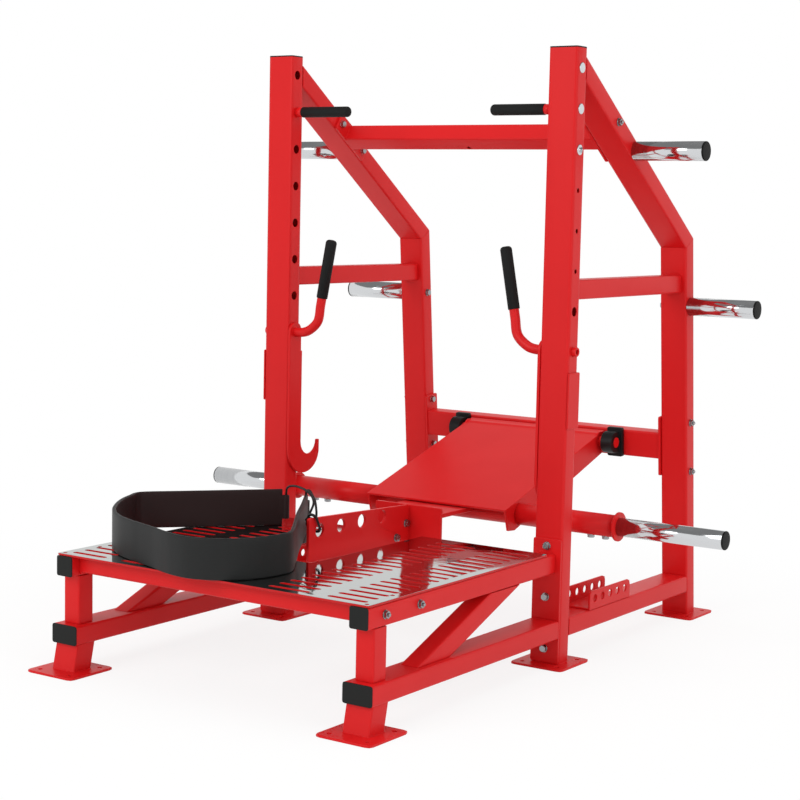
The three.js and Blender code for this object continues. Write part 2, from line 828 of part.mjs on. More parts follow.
function platformUpperRail() {
  const rail = sideRail(
    SQUARE_TUBE,
    UPPER_RAIL_TOP - SQUARE_TUBE.depth,
    RAIL_FRONT,
    mountFront - SEAT_GAP,
  );
  const z = UPPER_RAIL_TOP - FRONT_BEAM.height / 2 - FRONT_BEAM.boltDrop;
  const bolts = FRONT_BEAM.bolts.map((y) =>
    boltHead(at(SIDE_CENTRE + SQUARE_TUBE.width / 2, y, z), ALONG_X, BOLT.stub / 2),
  );
  return join([rail, ...bolts]);
}

const upperRailLow = UPPER_RAIL_TOP - SQUARE_TUBE.depth;

function platformPost() {
  const y = POST.front + SQUARE_TUBE.depth / 2;
  return hollowTube(
    SQUARE_TUBE,
    at(SIDE_CENTRE, y, LOW_RAIL_TOP + SEAT_GAP),
    at(SIDE_CENTRE, y, upperRailLow - SEAT_GAP),
  );
}

function platformBrace() {
  const low = at(SIDE_CENTRE, DECK_BRACE.low, LOW_RAIL_TOP);
  const high = at(SIDE_CENTRE, DECK_BRACE.high, upperRailLow);
  const reach = high.clone().sub(low).normalize().multiplyScalar(UPPER_RAIL_TOP);
  return hollowTube(SQUARE_TUBE, low.clone().sub(reach), high.clone().add(reach))
    .subtract(beyond(at(0, 0, upperRailLow - SEAT_GAP), ALONG_Z))
    .subtract(beyond(at(0, 0, LOW_RAIL_TOP + SEAT_GAP), at(0, 0, -1)));
}

function frontCrossbeam() {
  const inner = SIDE_CENTRE - SQUARE_TUBE.width / 2 - SEAT_GAP;
  const centreY = FRONT_BEAM.front + BOX_TUBE.width / 2;
  const top = UPPER_RAIL_TOP;
  const centreZ = top - FRONT_BEAM.height / 2;
  const stock = { ...BOX_TUBE, depth: FRONT_BEAM.height };
  const beam = hollowTube(
    stock,
    at(-inner + PLATE, centreY, centreZ),
    at(inner - PLATE, centreY, centreZ),
    ALONG_Y,
  );
  const { flangeRear, flangeHeight, front, bolts } = FRONT_BEAM;
  const boltY = Math.max(...bolts);
  const flangeLength = flangeRear - front;
  const parts = [beam];
  for (const side of [-1, 1]) {
    const y = front + flangeLength / 2;
    const z = top - flangeHeight / 2;
    parts.push(
      bar(
        rectangle(flangeLength, flangeHeight, SQUARE_TUBE.corner),
        at(side * (inner - PLATE - WELD_SINK), y, z),
        at(side * inner, y, z),
        ALONG_Y,
      ),
    );
    const point = at(side * (inner - PLATE), boltY, centreZ - FRONT_BEAM.boltDrop);
    parts.push(boltHead(point, at(-side, 0, 0)));
  }
  const drain = sheetThrough(0, centreY, UPRIGHT.pinHole / 2, centreZ - BOX_TUBE.width, centreZ);
  return cut(join(parts), [drain]);
}

// Slotted deck with its central opening for the tongue

function deckPlate() {
  const { half, rear, corner, opening, slot, inner, outer, screw } = DECK;
  const length = rear - DECK_FRONT;
  const centreY = DECK_FRONT + length / 2;
  const sheet = rectangle(2 * half, length, corner);
  const plate = bar(sheet, at(0, centreY, DECK_BOTTOM), at(0, centreY, DECK_TOP), ALONG_X);
  const mouthLength = rear - opening.front + OVERRUN;
  const mouthY = opening.front + mouthLength / 2;
  const mouth = bar(
    rectangle(2 * opening.half, mouthLength, opening.corner),
    at(0, mouthY, DECK_BOTTOM - OVERRUN),
    at(0, mouthY, DECK_TOP + OVERRUN),
    ALONG_X,
  );
  const holes = [mouth];
  for (const side of [-1, 1]) {
    for (const column of [inner, outer]) {
      const width = column.end - column.start;
      const x = side * (column.start + width / 2);
      const profile = stadium(width, slot.width);
      for (let row = 0; row < slot.rows; row++) {
        const y = DECK_FRONT + slot.firstFromFront + row * slot.pitch;
        const from = at(x, y, DECK_BOTTOM - OVERRUN);
        holes.push(bar(profile, from, at(x, y, DECK_TOP + OVERRUN), ALONG_X, FACETS.slot));
      }
    }
    for (const place of [DECK.frontScrew, DECK.rearScrew]) {
      const x = side * (half - place.side);
      const y = DECK_FRONT + place.front;
      holes.push(sheetThrough(x, y, screw / 2, DECK_BOTTOM - OVERRUN, DECK_TOP + OVERRUN));
    }
  }
  return cut(plate, holes);
}

// Slot outline with round ends.
function stadium(length, width) {
  const reach = (length - width) / 2;
  const shape = new THREE.Shape();
  shape.absarc(reach, 0, width / 2, -Math.PI / 2, Math.PI / 2, false);
  shape.absarc(-reach, 0, width / 2, Math.PI / 2, (3 * Math.PI) / 2, false);
  shape.closePath();
  return shape;
}

// Plastic cap with a plug for a rectangular tube, facing the front.
function railCap(stock, z) {
  const { width, depth, wall, corner } = stock;
  const lip = wall;
  const inset = 2 * (wall + SEAT_GAP);
  const plug = rectangle(width - inset, depth - inset, corner - wall);
  const front = RAIL_FRONT - SEAT_GAP;
  const along = (y) => at(SIDE_CENTRE, y, z);
  const face = bar(rectangle(width, depth, corner), along(front), along(front - lip), ALONG_X);
  return face.add(bar(plug, along(front + depth / 2), along(front - lip / 2), ALONG_X));
}

addPair(platform, "platform_mount_plate", mountPlate(), RED);
addPair(platform, "platform_lower_rail", platformLowRail(), RED);
addPair(platform, "platform_upper_rail", platformUpperRail(), RED);
addPair(platform, "platform_post", platformPost(), RED);
addPair(platform, "platform_brace", platformBrace(), RED);
addPiece(platform, "platform_crossbeam", frontCrossbeam(), RED);
addPiece(platform, "platform_deck", deckPlate(), DECK_STEEL);
const upperCap = railCap(SQUARE_TUBE, UPPER_RAIL_TOP - SQUARE_TUBE.depth / 2);
const lowerCap = railCap(LOW_STOCK, LOW_RAIL.bottom + LOW_RAIL.height / 2);
addPair(platform, "upper_rail_cap", upperCap, BLACK_PLASTIC);
addPair(platform, "lower_rail_cap", lowerCap, BLACK_PLASTIC);

// Pillow blocks on the rear crossbeam

const beamFront = rearCentre(REAR_BEAM.z) - (REAR_BEAM.depth / 2) * leanLength;

function pillowBlock() {
  const { width, height, base, baseOffset, boss, bossDia, slip } = BEARING;
  const tilt = at(0, -1, -REAR_UPRIGHT.lean).normalize();
  const seat = at(BOSS_CENTRE + baseOffset, beamFront, REAR_BEAM.z).addScaledVector(tilt, SEAT_GAP);
  const plate = bar(
    rectangle(width, height, SQUARE_TUBE.corner),
    seat,
    seat.clone().addScaledVector(tilt, base),
    ALONG_X,
  );
  const radius = bossDia / 2;
  const cheek = new THREE.Shape();
  const back = seat.y - base / 2;
  cheek.moveTo(back, PIVOT.z - radius);
  cheek.lineTo(back, PIVOT.z + radius);
  cheek.lineTo(PIVOT.y, PIVOT.z + radius);
  cheek.absarc(PIVOT.y, PIVOT.z, radius, Math.PI / 2, (3 * Math.PI) / 2, false);
  cheek.closePath();
  const housing = sideProfile(cheek, BOSS_CENTRE - boss / 2, BOSS_CENTRE + boss / 2, FACETS.grip / 2);
  const bore = rod(
    at(BOSS_CENTRE - boss, PIVOT.y, PIVOT.z),
    at(BOSS_CENTRE + boss, PIVOT.y, PIVOT.z),
    SHAFT.dia / 2 + slip,
    FACETS.tube,
  );
  return join([plate, housing]).subtract(bore);
}

const leverGroup = subGroup("lever");
addPair(crossFrame, "pillow_block", pillowBlock(), BLACK_CAST);

// Lever frame

const leverForward = at(0, -Math.cos(LEVER.slope), -Math.sin(LEVER.slope));
const leverUp = at(0, -Math.sin(LEVER.slope), Math.cos(LEVER.slope));
const onLever = (u, w, x = 0) =>
  at(x, PIVOT.y, PIVOT.z).addScaledVector(leverForward, u).addScaledVector(leverUp, w);
const flatten = (point) => [point.y, point.z];
const crossTubeAxis = onLever(LEVER.tubeU, LEVER.tubeW);

function leverFrame() {
  const { half, top, plate, rear, front, hub, bottomRear, bottomFront, chin, chinStart } = LEVER;
  const cheek = outline(
    [
      [rear, top - plate / 2],
      [rear, 0],
      [0, bottomRear],
      [chinStart, bottomFront],
      [front, chin],
      [front, top - plate / 2],
    ].map(([u, w]) => flatten(onLever(u, w))),
  );
  const parts = [];
  for (const side of [-1, 1]) {
    const [x0, x1] = [side * (half - plate), side * half].sort((a, b) => a - b);
    parts.push(sideProfile(cheek, x0, x1));
    parts.push(rod(at(x0, PIVOT.y, PIVOT.z), at(x1, PIVOT.y, PIVOT.z), hub / 2, FACETS.tube));
  }
  const skinLow = top - plate;
  const skin = outline(
    [[rear, skinLow], [front, skinLow], [front, top], [rear, top]].map(([u, w]) => flatten(onLever(u, w))),
  );
  parts.push(sideProfile(skin, -half, half));
  const hubLine = [at(-half, PIVOT.y, PIVOT.z), at(half, PIVOT.y, PIVOT.z)];
  parts.push(rod(...hubLine, LEVER.hubTube / 2, FACETS.tube));
  const crossTube = (from, to, radius) =>
    rod(crossTubeAxis.clone().setX(from), crossTubeAxis.clone().setX(to), radius, FACETS.tube);
  parts.push(crossTube(-LEVER.tubeEnd, LEVER.tubeEnd, LEVER.tube / 2));
  for (const side of [-1, 1]) {
    const ends = [side * LEVER.tubeEnd - side * WELD_SINK, side * (LEVER.tubeEnd + LEVER.collarThick)];
    parts.push(crossTube(ends[0], ends[1], LEVER.collar / 2));
  }
  parts.push(forwardArm());
  for (const [side, list] of [[1, SLEEVE_BOLTS.right], [-1, SLEEVE_BOLTS.left]]) {
    for (const x of list) {
      const under = at(side * x, crossTubeAxis.y, crossTubeAxis.z - LEVER.tube / 2 + 2 * WELD_SINK);
      parts.push(boltHead(under, at(0, 0, -1)));
    }
  }
  const bore = rod(
    at(-half - OVERRUN, PIVOT.y, PIVOT.z),
    at(half + OVERRUN, PIVOT.y, PIVOT.z),
    SHAFT.dia / 2 + SEAT_GAP,
    FACETS.tube,
  );
  const tubeBore = crossTube(-SLEEVE.end, SLEEVE.end, LEVER.tube / 2 - LEVER.tubeWall);
  return cut(join(parts), [bore, tubeBore]);
}

// The flat arm from the cross tube to the tongue, with its end flange and the lug for the tongue.
function forwardArm() {
  const { width, thick, corner, rearY, centreZ } = ARM;
  const teeBack = TEE.front + TEE.thick;
  const arm = bar(
    rectangle(width, thick, corner),
    at(0, rearY, centreZ),
    at(0, teeBack - WELD_SINK, centreZ),
    ALONG_X,
  );
  const tee = bar(
    rectangle(2 * TEE.half, TEE.high - TEE.low, TEE.corner),
    at(0, teeBack, (TEE.high + TEE.low) / 2),
    at(0, TEE.front, (TEE.high + TEE.low) / 2),
    ALONG_X,
  );
  const near = -TONGUE.thick / 2 - SEAT_GAP;
  const lugBack = TEE.front + WELD_SINK;
  const lugOutline = outline([
    [LUG.front, LUG.low],
    [lugBack, LUG.low],
    [lugBack, LUG.high],
    [LUG.front, LUG.high],
  ]);
  const far = near - LUG.thick;
  const lug = sideProfile(lugOutline, far, near);
  const nuts = TONGUE_BOLTS.map(({ y, z }) => boltHead(at(far, y, z), at(-1, 0, 0)));
  return join([arm, tee, lug, ...nuts]);
}

addPiece(leverGroup, "lever_frame", leverFrame(), RED);

function tonguePlate() {
  const { thick, front, lowFront, lowRear, highFront, highRear, corner, hole, holeZ } = TONGUE;
  const rear = TEE.front - SEAT_GAP;
  const corners = [[rear, lowRear], [rear, highRear], [front, highFront], [front, lowFront]];
  const face = outline(corners, corner);
  const plate = sideProfile(face, -thick / 2, thick / 2);
  const bores = [];
  for (let i = 0; i < TONGUE.holes; i++) {
    const y = TONGUE.firstHole + i * TONGUE.pitch;
    bores.push(rod(at(-OVERRUN, y, holeZ), at(OVERRUN, y, holeZ), hole / 2, FACETS.tube));
  }
  const bolts = TONGUE_BOLTS.map(({ y, z }) => boltHead(at(thick / 2, y, z), ALONG_X));
  return join([cut(plate, bores), ...bolts]);
}

addPiece(leverGroup, "tongue_plate", tonguePlate(), RED);
addPiece(
  leverGroup,
  "pivot_shaft",
  rod(
    at(-SHAFT_END, PIVOT.y, PIVOT.z),
    at(SHAFT_END, PIVOT.y, PIVOT.z),
    SHAFT.dia / 2,
    FACETS.tube,
  ),
  RED,
);

// Loading sleeves over the ends of the cross tube

function loadingSleeve() {
  const start = LEVER.tubeEnd + LEVER.collarThick + SEAT_GAP;
  const axis = (x) => crossTubeAxis.clone().setX(x);
  const outer = rod(axis(start), axis(SLEEVE.end), SLEEVE.dia / 2, FACETS.tube);
  const boreRadius = SLEEVE.dia / 2 - SLEEVE.wall;
  const bore = rod(axis(start - OVERRUN), axis(SLEEVE.end + OVERRUN), boreRadius, FACETS.tube);
  return outer.subtract(bore);
}

addPair(leverGroup, "loading_sleeve", loadingSleeve(), CHROME);
addPair(
  leverGroup,
  "loading_sleeve_cap",
  roundCap(
    SLEEVE.end,
    crossTubeAxis.y,
    crossTubeAxis.z,
    SLEEVE.dia,
    SLEEVE.wall,
    SLEEVE.cap,
    SLEEVE.capPlug,
  ),
  BLACK_PLASTIC,
);

// Safety catches: a plate with a hook, a saddle that rides on the upright, a pivot tube through
// it and a bent handle

const belowPivot = (drop) => PIVOT_ROW - drop;

function catchPlateOutline() {
  const { hubRadius, front, topBack, throat, tip } = CATCH;
  const [heel, toe, sole, chin, jaw] = [CATCH.heel, CATCH.toe, CATCH.sole, CATCH.chin, CATCH.jaw].map(
    ({ y, drop }) => [y, belowPivot(drop)],
  );
  const saddleTop = belowPivot(CATCH.saddleTop);
  const shape = new THREE.Shape();
  shape.moveTo(topBack, saddleTop);
  shape.lineTo(topBack, PIVOT_ROW);
  shape.quadraticCurveTo(topBack, PIVOT_ROW + hubRadius, 0, PIVOT_ROW + hubRadius);
  shape.absarc(0, PIVOT_ROW, hubRadius, Math.PI / 2, Math.PI, false);
  shape.lineTo(front, belowPivot(CATCH.frontDrop));
  shape.quadraticCurveTo(...jaw, ...chin);
  shape.quadraticCurveTo(...sole, ...toe);
  shape.quadraticCurveTo(...heel, tip.y, belowPivot(CATCH.tipLow));
  shape.lineTo(tip.y, belowPivot(tip.drop));
  shape.lineTo(throat.y + throat.radius, belowPivot(throat.drop));
  shape.absarc(throat.y, belowPivot(throat.drop), throat.radius, 0, -Math.PI, true);
  shape.lineTo(CATCH_BACK, saddleTop);
  shape.closePath();
  return shape;
}

const gripLow = at(HANDLE.bottomX, 0, PIVOT_ROW + HANDLE.bottomRise);
const gripHigh = at(HANDLE.topX, 0, PIVOT_ROW + HANDLE.topRise);

function handleRod() {
  const { rod: dia, bottomX, topX, knee, bulge } = HANDLE;
  const [bottomZ, topZ] = [gripLow.z, gripHigh.z];
  const inset = dia / 2;
  const slope = (bottomX - topX) / (topZ - bottomZ);
  const path = new THREE.CatmullRomCurve3(
    [
      at(CATCH_FACE - CATCH.thick / 2, 0, PIVOT_ROW),
      at((CATCH_FACE - CATCH.thick / 2 + knee) / 2, 0, PIVOT_ROW),
      at(knee, 0, PIVOT_ROW + dia / 4),
      at(bulge, 0, PIVOT_ROW + HANDLE.bottomRise / 3),
      at(bottomX + slope * dia, 0, bottomZ - dia),
      at(bottomX, 0, bottomZ),
      at(topX + slope * inset, 0, topZ - inset),
    ],
    false,
    "centripetal",
  );
  const round = new THREE.Shape().absarc(0, 0, dia / 2, 0, 2 * Math.PI, false);
  const geometry = new THREE.ExtrudeGeometry(round, {
    steps: FACETS.path,
    extrudePath: path,
    curveSegments: FACETS.hole / 2,
  });
  return toSolid(geometry);
}

function safetyCatch() {
  const face = CATCH_FACE;
  const plate = sideProfile(catchPlateOutline(), face - CATCH.thick, face, FACETS.bend);
  const outerFace = SIDE_OUTER + RUNNING_GAP;
  const [top, low] = [belowPivot(CATCH.saddleTop), belowPivot(CATCH.saddleLow)];
  const saddleSide = outline(
    [
      [CATCH.front, low],
      [CATCH_BACK, low],
      [CATCH_BACK, top],
      [CATCH.front, top],
    ],
    CATCH.saddleWall,
  );
  const outerCheek = sideProfile(saddleSide, outerFace, outerFace + CATCH.saddleWall);
  const bridge = sideProfile(
    outline([
      [CATCH_BACK - CATCH.saddleWall, low],
      [CATCH_BACK, low],
      [CATCH_BACK, top],
      [CATCH_BACK - CATCH.saddleWall, top],
    ]),
    face - CATCH.saddleWall,
    outerFace + CATCH.saddleWall / 2,
  );
  const pinEnd = SIDE_OUTER + CATCH.pinProud;
  const pinStart = face - CATCH.thick / 2;
  const pin = rod(at(pinStart, 0, PIVOT_ROW), at(pinEnd, 0, PIVOT_ROW), CATCH.pin / 2, FACETS.tube);
  const bore = rod(
    at(SIDE_CENTRE, 0, PIVOT_ROW),
    at(pinEnd + OVERRUN, 0, PIVOT_ROW),
    CATCH.pinBore / 2,
    FACETS.hole,
  );
  return join([plate, outerCheek, bridge, pin, handleRod()]).subtract(bore);
}

const catches = subGroup("safety_catches");
addPair(catches, "safety_catch", safetyCatch(), RED);
const catchGrip = rubberSleeve(gripLow, gripHigh, HANDLE.grip, HANDLE.rod);
addPair(catches, "catch_grip", catchGrip, RUBBER);

// Belt, standing on its edge on the deck

const BELT_ROUTE = [
  [-295, -176],
  [-380, -275],
  [-465, -373],
  [-532, -450],
  [-540, -482],
  [-527, -516],
  [-506, -566],
  [-474, -621],
  [-434, -676],
  [-404, -709],
  [-368, -741],
  [-322, -771],
  [-266, -796],
  [-220, -812],
  [-164, -832],
  [-112, -853],
  [-70, -866],
  [-20, -871],
  [28, -856],
  [72, -821],
  [102, -769],
  [114, -713],
  [110, -662],
  [64, -588],
  [-31, -450],
  [-110, -328],
  [-190, -208],
];

function strap(points, thick) {
  const left = [];
  const right = [];
  points.forEach((point, i) => {
    const before = points[Math.max(0, i - 1)];
    const after = points[Math.min(points.length - 1, i + 1)];
    const side = after.clone().sub(before).normalize().multiplyScalar(thick / 2);
    left.push([point.x - side.y, point.y + side.x]);
    right.push([point.x + side.y, point.y - side.x]);
  });
  return outline([...right, ...left.reverse()]);
}

// Flat tab at an end of the belt, rolled round an upright eye for the rope.
function endTab(end, inward, low) {
  const out = end.clone().sub(inward).normalize();
  const eye = end.clone().addScaledVector(out, BELT.rollReach);
  const root = end.clone().addScaledVector(out, -BELT.thick);
  const bottom = low + (BELT.height - BELT.tabHeight) / 2;
  const top = bottom + BELT.tabHeight;
  const tab = flatProfile(strap([root, eye], BELT.tab), bottom, top);
  const roll = sheetThrough(eye.x, eye.y, BELT.roll / 2, bottom, top);
  const bore = sheetThrough(eye.x, eye.y, BELT.eye / 2, bottom - OVERRUN, top + OVERRUN);
  return { body: tab.add(roll), bore };
}

function beltStrap() {
  const low = DECK_TOP + SEAT_GAP;
  const route = new THREE.SplineCurve(BELT_ROUTE.map(([x, y]) => new THREE.Vector2(x, y)));
  const points = route.getSpacedPoints(FACETS.belt);
  const core = new THREE.ExtrudeGeometry(strap(points, BELT.thick - 2 * BELT.round), {
    depth: BELT.height - 2 * BELT.round,
    bevelEnabled: true,
    bevelSize: BELT.round,
    bevelThickness: BELT.round,
    bevelSegments: FACETS.corner,
  }).translate(0, 0, low + BELT.round);
  const ends = [endTab(points[0], points[1], low), endTab(points.at(-1), points.at(-2), low)];
  const body = join([toSolid(core), ...ends.map((end) => end.body)]);
  return cut(body, ends.map((end) => end.bore));
}

const beltGroup = subGroup("belt_set");
addPiece(beltGroup, "belt", beltStrap(), WEBBING);

// Snap ring through the first hole of the tongue, resting over the plate's top edge

const ringAlong = at(0, RING.tilt.y, RING.tilt.z).normalize();
const tongueTopAt = (y) => {
  const share = (TEE.front - y) / (TEE.front - TONGUE.front);
  return TONGUE.highRear + (TONGUE.highFront - TONGUE.highRear) * share;
};
const ringRest = tongueTopAt(RING.topY) + RING.lift + RING.wire / 2;
const ringTop = at(RING.centreX, RING.topY, ringRest);
const ringCentre = ringTop.clone().addScaledVector(ringAlong, -RING.reach);
const onRing = (x, along) =>
  ringCentre.clone().addScaledVector(ALONG_X, x).addScaledVector(ringAlong, along);

function ringBody() {
  const path = new THREE.CurvePath();
  const straight = RING.reach - RING.half;
  class HalfTurn extends THREE.Curve {
    constructor(sign) {
      super();
      this.sign = sign;
    }
    getPoint(t, target = new THREE.Vector3()) {
      const angle = Math.PI * t;
      const x = this.sign * RING.half * Math.cos(angle);
      const along = this.sign * (straight + RING.half * Math.sin(angle));
      return target.copy(onRing(x, along));
    }
  }
  path.add(new HalfTurn(1));
  path.add(new THREE.LineCurve3(onRing(-RING.half, straight), onRing(-RING.half, -straight)));
  path.add(new HalfTurn(-1));
  const round = new THREE.Shape().absarc(0, 0, RING.wire / 2, 0, 2 * Math.PI, false);
  const points = path.getSpacedPoints(FACETS.tube);
  const curve = new THREE.CatmullRomCurve3(points, false, "centripetal");
  return toSolid(
    new THREE.ExtrudeGeometry(round, {
      steps: FACETS.path * 2,
      extrudePath: curve,
      curveSegments: FACETS.wire,
    }),
  );
}

// Round-ended gate; it swings inwards about the centre of its upper end.
function ringGate() {
  const radius = RING.gate / 2;
  const length = 2 * (RING.reach - RING.half - RUNNING_GAP - radius);
  const capsule = new THREE.CapsuleGeometry(radius, length, FACETS.corner, FACETS.bolt);
  const turn = new THREE.Quaternion().setFromUnitVectors(ALONG_Y, ringAlong);
  const frame = new THREE.Matrix4().compose(onRing(RING.half, 0), turn, at(1, 1, 1));
  return toSolid(capsule.applyMatrix4(frame));
}

addPiece(beltGroup, "snap_ring", ringBody(), BLACK_STEEL);
addPiece(beltGroup, "snap_ring_gate", ringGate(), BLACK_STEEL);

// Rope from the far eye of the belt over to the side of the snap ring and back to the near eye

const ROPE_ROUTE = [
  [-287.8, -167.7, 316],
  [-287.8, -167.7, 345],
  [-287.6, -167.9, 374],
  [-282, -173, 391],
  [-262, -188, 402],
  [-220, -218, 411],
  [-166, -262, 417],
  [-108, -312, 420],
  [-62, -350, 413],
  [-37, -379, 403],
  [-28, -401, 390],
  [-25, -417, 375],
  [-24, -422, 360],
  [-22.5, -413, 348],
  [-21.5, -399, 349],
  [-22, -389, 361],
  [-28, -378, 379],
  [-43, -360, 391],
  [-69, -330, 401],
  [-100, -300, 409],
  [-134, -266, 413],
  [-164, -236, 408],
  [-184, -215, 401],
  [-194, -203, 391],
  [-196, -198.9, 374],
  [-196, -198.9, 345],
  [-196, -198.9, 316],
];

function ropeTube() {
  const curve = new THREE.CatmullRomCurve3(ROPE_ROUTE.map((point) => at(...point)), false, "centripetal");
  const round = new THREE.Shape().absarc(0, 0, ROPE.dia / 2, 0, 2 * Math.PI, false);
  return toSolid(
    new THREE.ExtrudeGeometry(round, {
      steps: FACETS.rope,
      extrudePath: curve,
      curveSegments: ROPE.sides / 2,
    }),
  );
}

addPiece(beltGroup, "belt_rope", ropeTube(), WEBBING);

export default machine;
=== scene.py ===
"""Looks of a belt squat machine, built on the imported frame.

Every length is in metres in the row frame, +X to the machine's right side, +Y to the back and
+Z up, unless a name ends in _mm.
"""

import json
import logging
from dataclasses import dataclass
from enum import Enum

import bpy
import numpy as np
from mathutils import Matrix


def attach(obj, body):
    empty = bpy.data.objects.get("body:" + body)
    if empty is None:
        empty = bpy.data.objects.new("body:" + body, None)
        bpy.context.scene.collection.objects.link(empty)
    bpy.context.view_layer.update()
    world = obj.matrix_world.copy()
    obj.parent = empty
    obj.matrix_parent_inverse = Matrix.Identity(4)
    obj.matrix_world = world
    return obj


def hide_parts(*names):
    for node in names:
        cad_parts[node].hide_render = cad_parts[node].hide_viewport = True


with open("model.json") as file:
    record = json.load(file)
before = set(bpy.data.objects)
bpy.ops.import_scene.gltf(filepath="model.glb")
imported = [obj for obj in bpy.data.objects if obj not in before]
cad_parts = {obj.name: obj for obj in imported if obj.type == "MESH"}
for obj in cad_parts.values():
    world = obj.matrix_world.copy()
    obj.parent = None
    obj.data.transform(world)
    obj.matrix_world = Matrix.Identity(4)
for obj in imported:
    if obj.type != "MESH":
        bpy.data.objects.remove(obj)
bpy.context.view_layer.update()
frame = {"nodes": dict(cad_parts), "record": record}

log = logging.getLogger("belt_squat")

MM = 0.001
# The middle of the uprights in Y, and the outer and inner faces of the side frames in X.
UPRIGHT_Y = 0.040
SIDE_OUTER = 0.480
SIDE_INNER = 0.400
# Points in a ring of the large round parts.
FINE_RING = 96

Array = np.ndarray
Material = bpy.types.Material
Tree = bpy.types.NodeTree
Socket = bpy.types.NodeSocket


class Side(Enum):
    """The two sides of the machine, by the sign of X."""

    RIGHT = 1
    LEFT = -1

    @property
    def word(self) -> str:
        """The ending of the names of pieces on this side."""
        return self.name.lower()


class Body(Enum):
    """The moving bodies that a piece can ride on."""

    FRAME = "frame"
    LEVER = "lever"
    RIGHT_CATCH = "right_catch"
    LEFT_CATCH = "left_catch"
    RING_GATE = "ring_gate"


# The body of each side's pieces.
ON_FRAME = dict.fromkeys(Side, Body.FRAME)
ON_LEVER = dict.fromkeys(Side, Body.LEVER)
ON_CATCH = {Side.RIGHT: Body.RIGHT_CATCH, Side.LEFT: Body.LEFT_CATCH}


# Colours and node trees


def linear(code: str) -> tuple[float, float, float, float]:
    """Turns an sRGB hex colour into linear RGBA.

    Args:
        code: Colour such as "#D91C1D".

    Returns:
        Linear red, green, blue and an alpha of 1.
    """
    parts = np.array([int(code[i : i + 2], 16) for i in (1, 3, 5)]) / 255.0
    low = parts / 12.92
    high = ((parts + 0.055) / 1.055) ** 2.4
    red, green, blue = np.where(parts <= 0.04045, low, high)
    return (float(red), float(green), float(blue), 1.0)


def add_node(
    tree: Tree, kind: str, settings: dict | None = None, links: dict | None = None
) -> bpy.types.Node:
    """Adds one node with its settings and links.

    Args:
        tree: Node tree of a material or of the world.
        kind: Blender's type name of the node.
        settings: Values for properties, or for inputs by name or number.
        links: Output sockets for inputs, by name or number.

    Returns:
        The new node.
    """
    node = tree.nodes.new(kind)
    for key, value in (settings or {}).items():
        if isinstance(key, int) or key in node.inputs.keys():
            node.inputs[key].default_value = value
        else:
            setattr(node, key, value)
    for key, socket in (links or {}).items():
        tree.links.new(socket, node.inputs[key])
    return node


def per_mm(size_mm: float) -> float:
    """Scale of a texture whose cells are this many millimetres wide."""
    return 1.0 / (size_mm * MM)


def wave_per_mm(period_mm: float) -> float:
    """Scale of a wave texture whose bands repeat at this many millimetres."""
    return np.pi / 10 / (period_mm * MM)


def start_material(name: str) -> tuple[Material, Tree, bpy.types.Node]:
    """Makes an empty node material.

    Args:
        name: Name of the real material.

    Returns:
        The material, its node tree and a texture coordinate node.
    """
    material = bpy.data.materials.new(name)
    material.use_nodes = True
    tree = material.node_tree
    tree.nodes.clear()
    return material, tree, add_node(tree, "ShaderNodeTexCoord")


@dataclass(frozen=True)
class Finish:
    """What every finish has: its constants, a fine relief and a gloss that varies with a pattern."""

    name: str
    colour: str
    roughness: float
    metallic: float = 0.0
    specular: float = 0.5
    gloss_spread: tuple[float, float] = (-0.08, 0.08)
    relief: float = 0.35
    relief_mm: float = 0.15

    def close(
        self, tree: Tree, height: Socket, gloss: Socket | None = None, links: dict | None = None
    ) -> None:
        """Closes the material with its bump, its Principled shader and its output.

        Args:
            tree: Node tree of the material.
            height: Pattern that the bump follows.
            gloss: Pattern that the roughness follows, or None for an even one.
            links: Output sockets for other inputs of the shader.
        """
        depth = {"Strength": self.relief, "Distance": self.relief_mm * MM}
        bump = add_node(tree, "ShaderNodeBump", depth, {"Height": height})
        linked = {"Normal": bump.outputs["Normal"], **(links or {})}
        if gloss is not None:
            low, high = (self.roughness + step for step in self.gloss_spread)
            spread = add_node(tree, "ShaderNodeMapRange", {"To Min": low, "To Max": high}, {"Value": gloss})
            linked["Roughness"] = spread.outputs["Result"]
        constants = {
            "Base Color": linear(self.colour),
            "Metallic": self.metallic,
            "Roughness": self.roughness,
            "Specular IOR Level": self.specular,
        }
        shader = add_node(tree, "ShaderNodeBsdfPrincipled", constants, linked)
        add_node(tree, "ShaderNodeOutputMaterial", {}, {"Surface": shader.outputs["BSDF"]})


@dataclass(frozen=True)
class PowderCoat(Finish):
    """Polyester powder coat, sprayed and baked: even colour under a slightly rippled gloss."""

    name: str = "red_powder_coat"
    colour: str = "#DA1A1C"
    roughness: float = 0.38
    specular: float = 0.2
    gloss_spread: tuple[float, float] = (-0.04, 0.05)
    relief: float = 0.12
    relief_mm: float = 0.12
    deep_colour: str = "#D01518"
    ripple_mm: float = 5.0
    cloud_mm: float = 180.0

    def make(self) -> Material:
        """Builds the material.

        Returns:
            The material. Its ripple is drawn several times coarser than real so that it shows.
        """
        material, tree, place = start_material(self.name)
        at = {"Vector": place.outputs["Object"]}
        cloud = add_node(tree, "ShaderNodeTexNoise", {"Scale": per_mm(self.cloud_mm), "Detail": 3.0}, at)
        ripple = add_node(tree, "ShaderNodeTexNoise", {"Scale": per_mm(self.ripple_mm), "Detail": 1.0}, at)
        shades = {"data_type": "RGBA", 6: linear(self.colour), 7: linear(self.deep_colour)}
        colour = add_node(tree, "ShaderNodeMix", shades, {0: cloud.outputs["Fac"]})
        self.close(tree, ripple.outputs["Fac"], cloud.outputs["Fac"], {"Base Color": colour.outputs[2]})
        return material


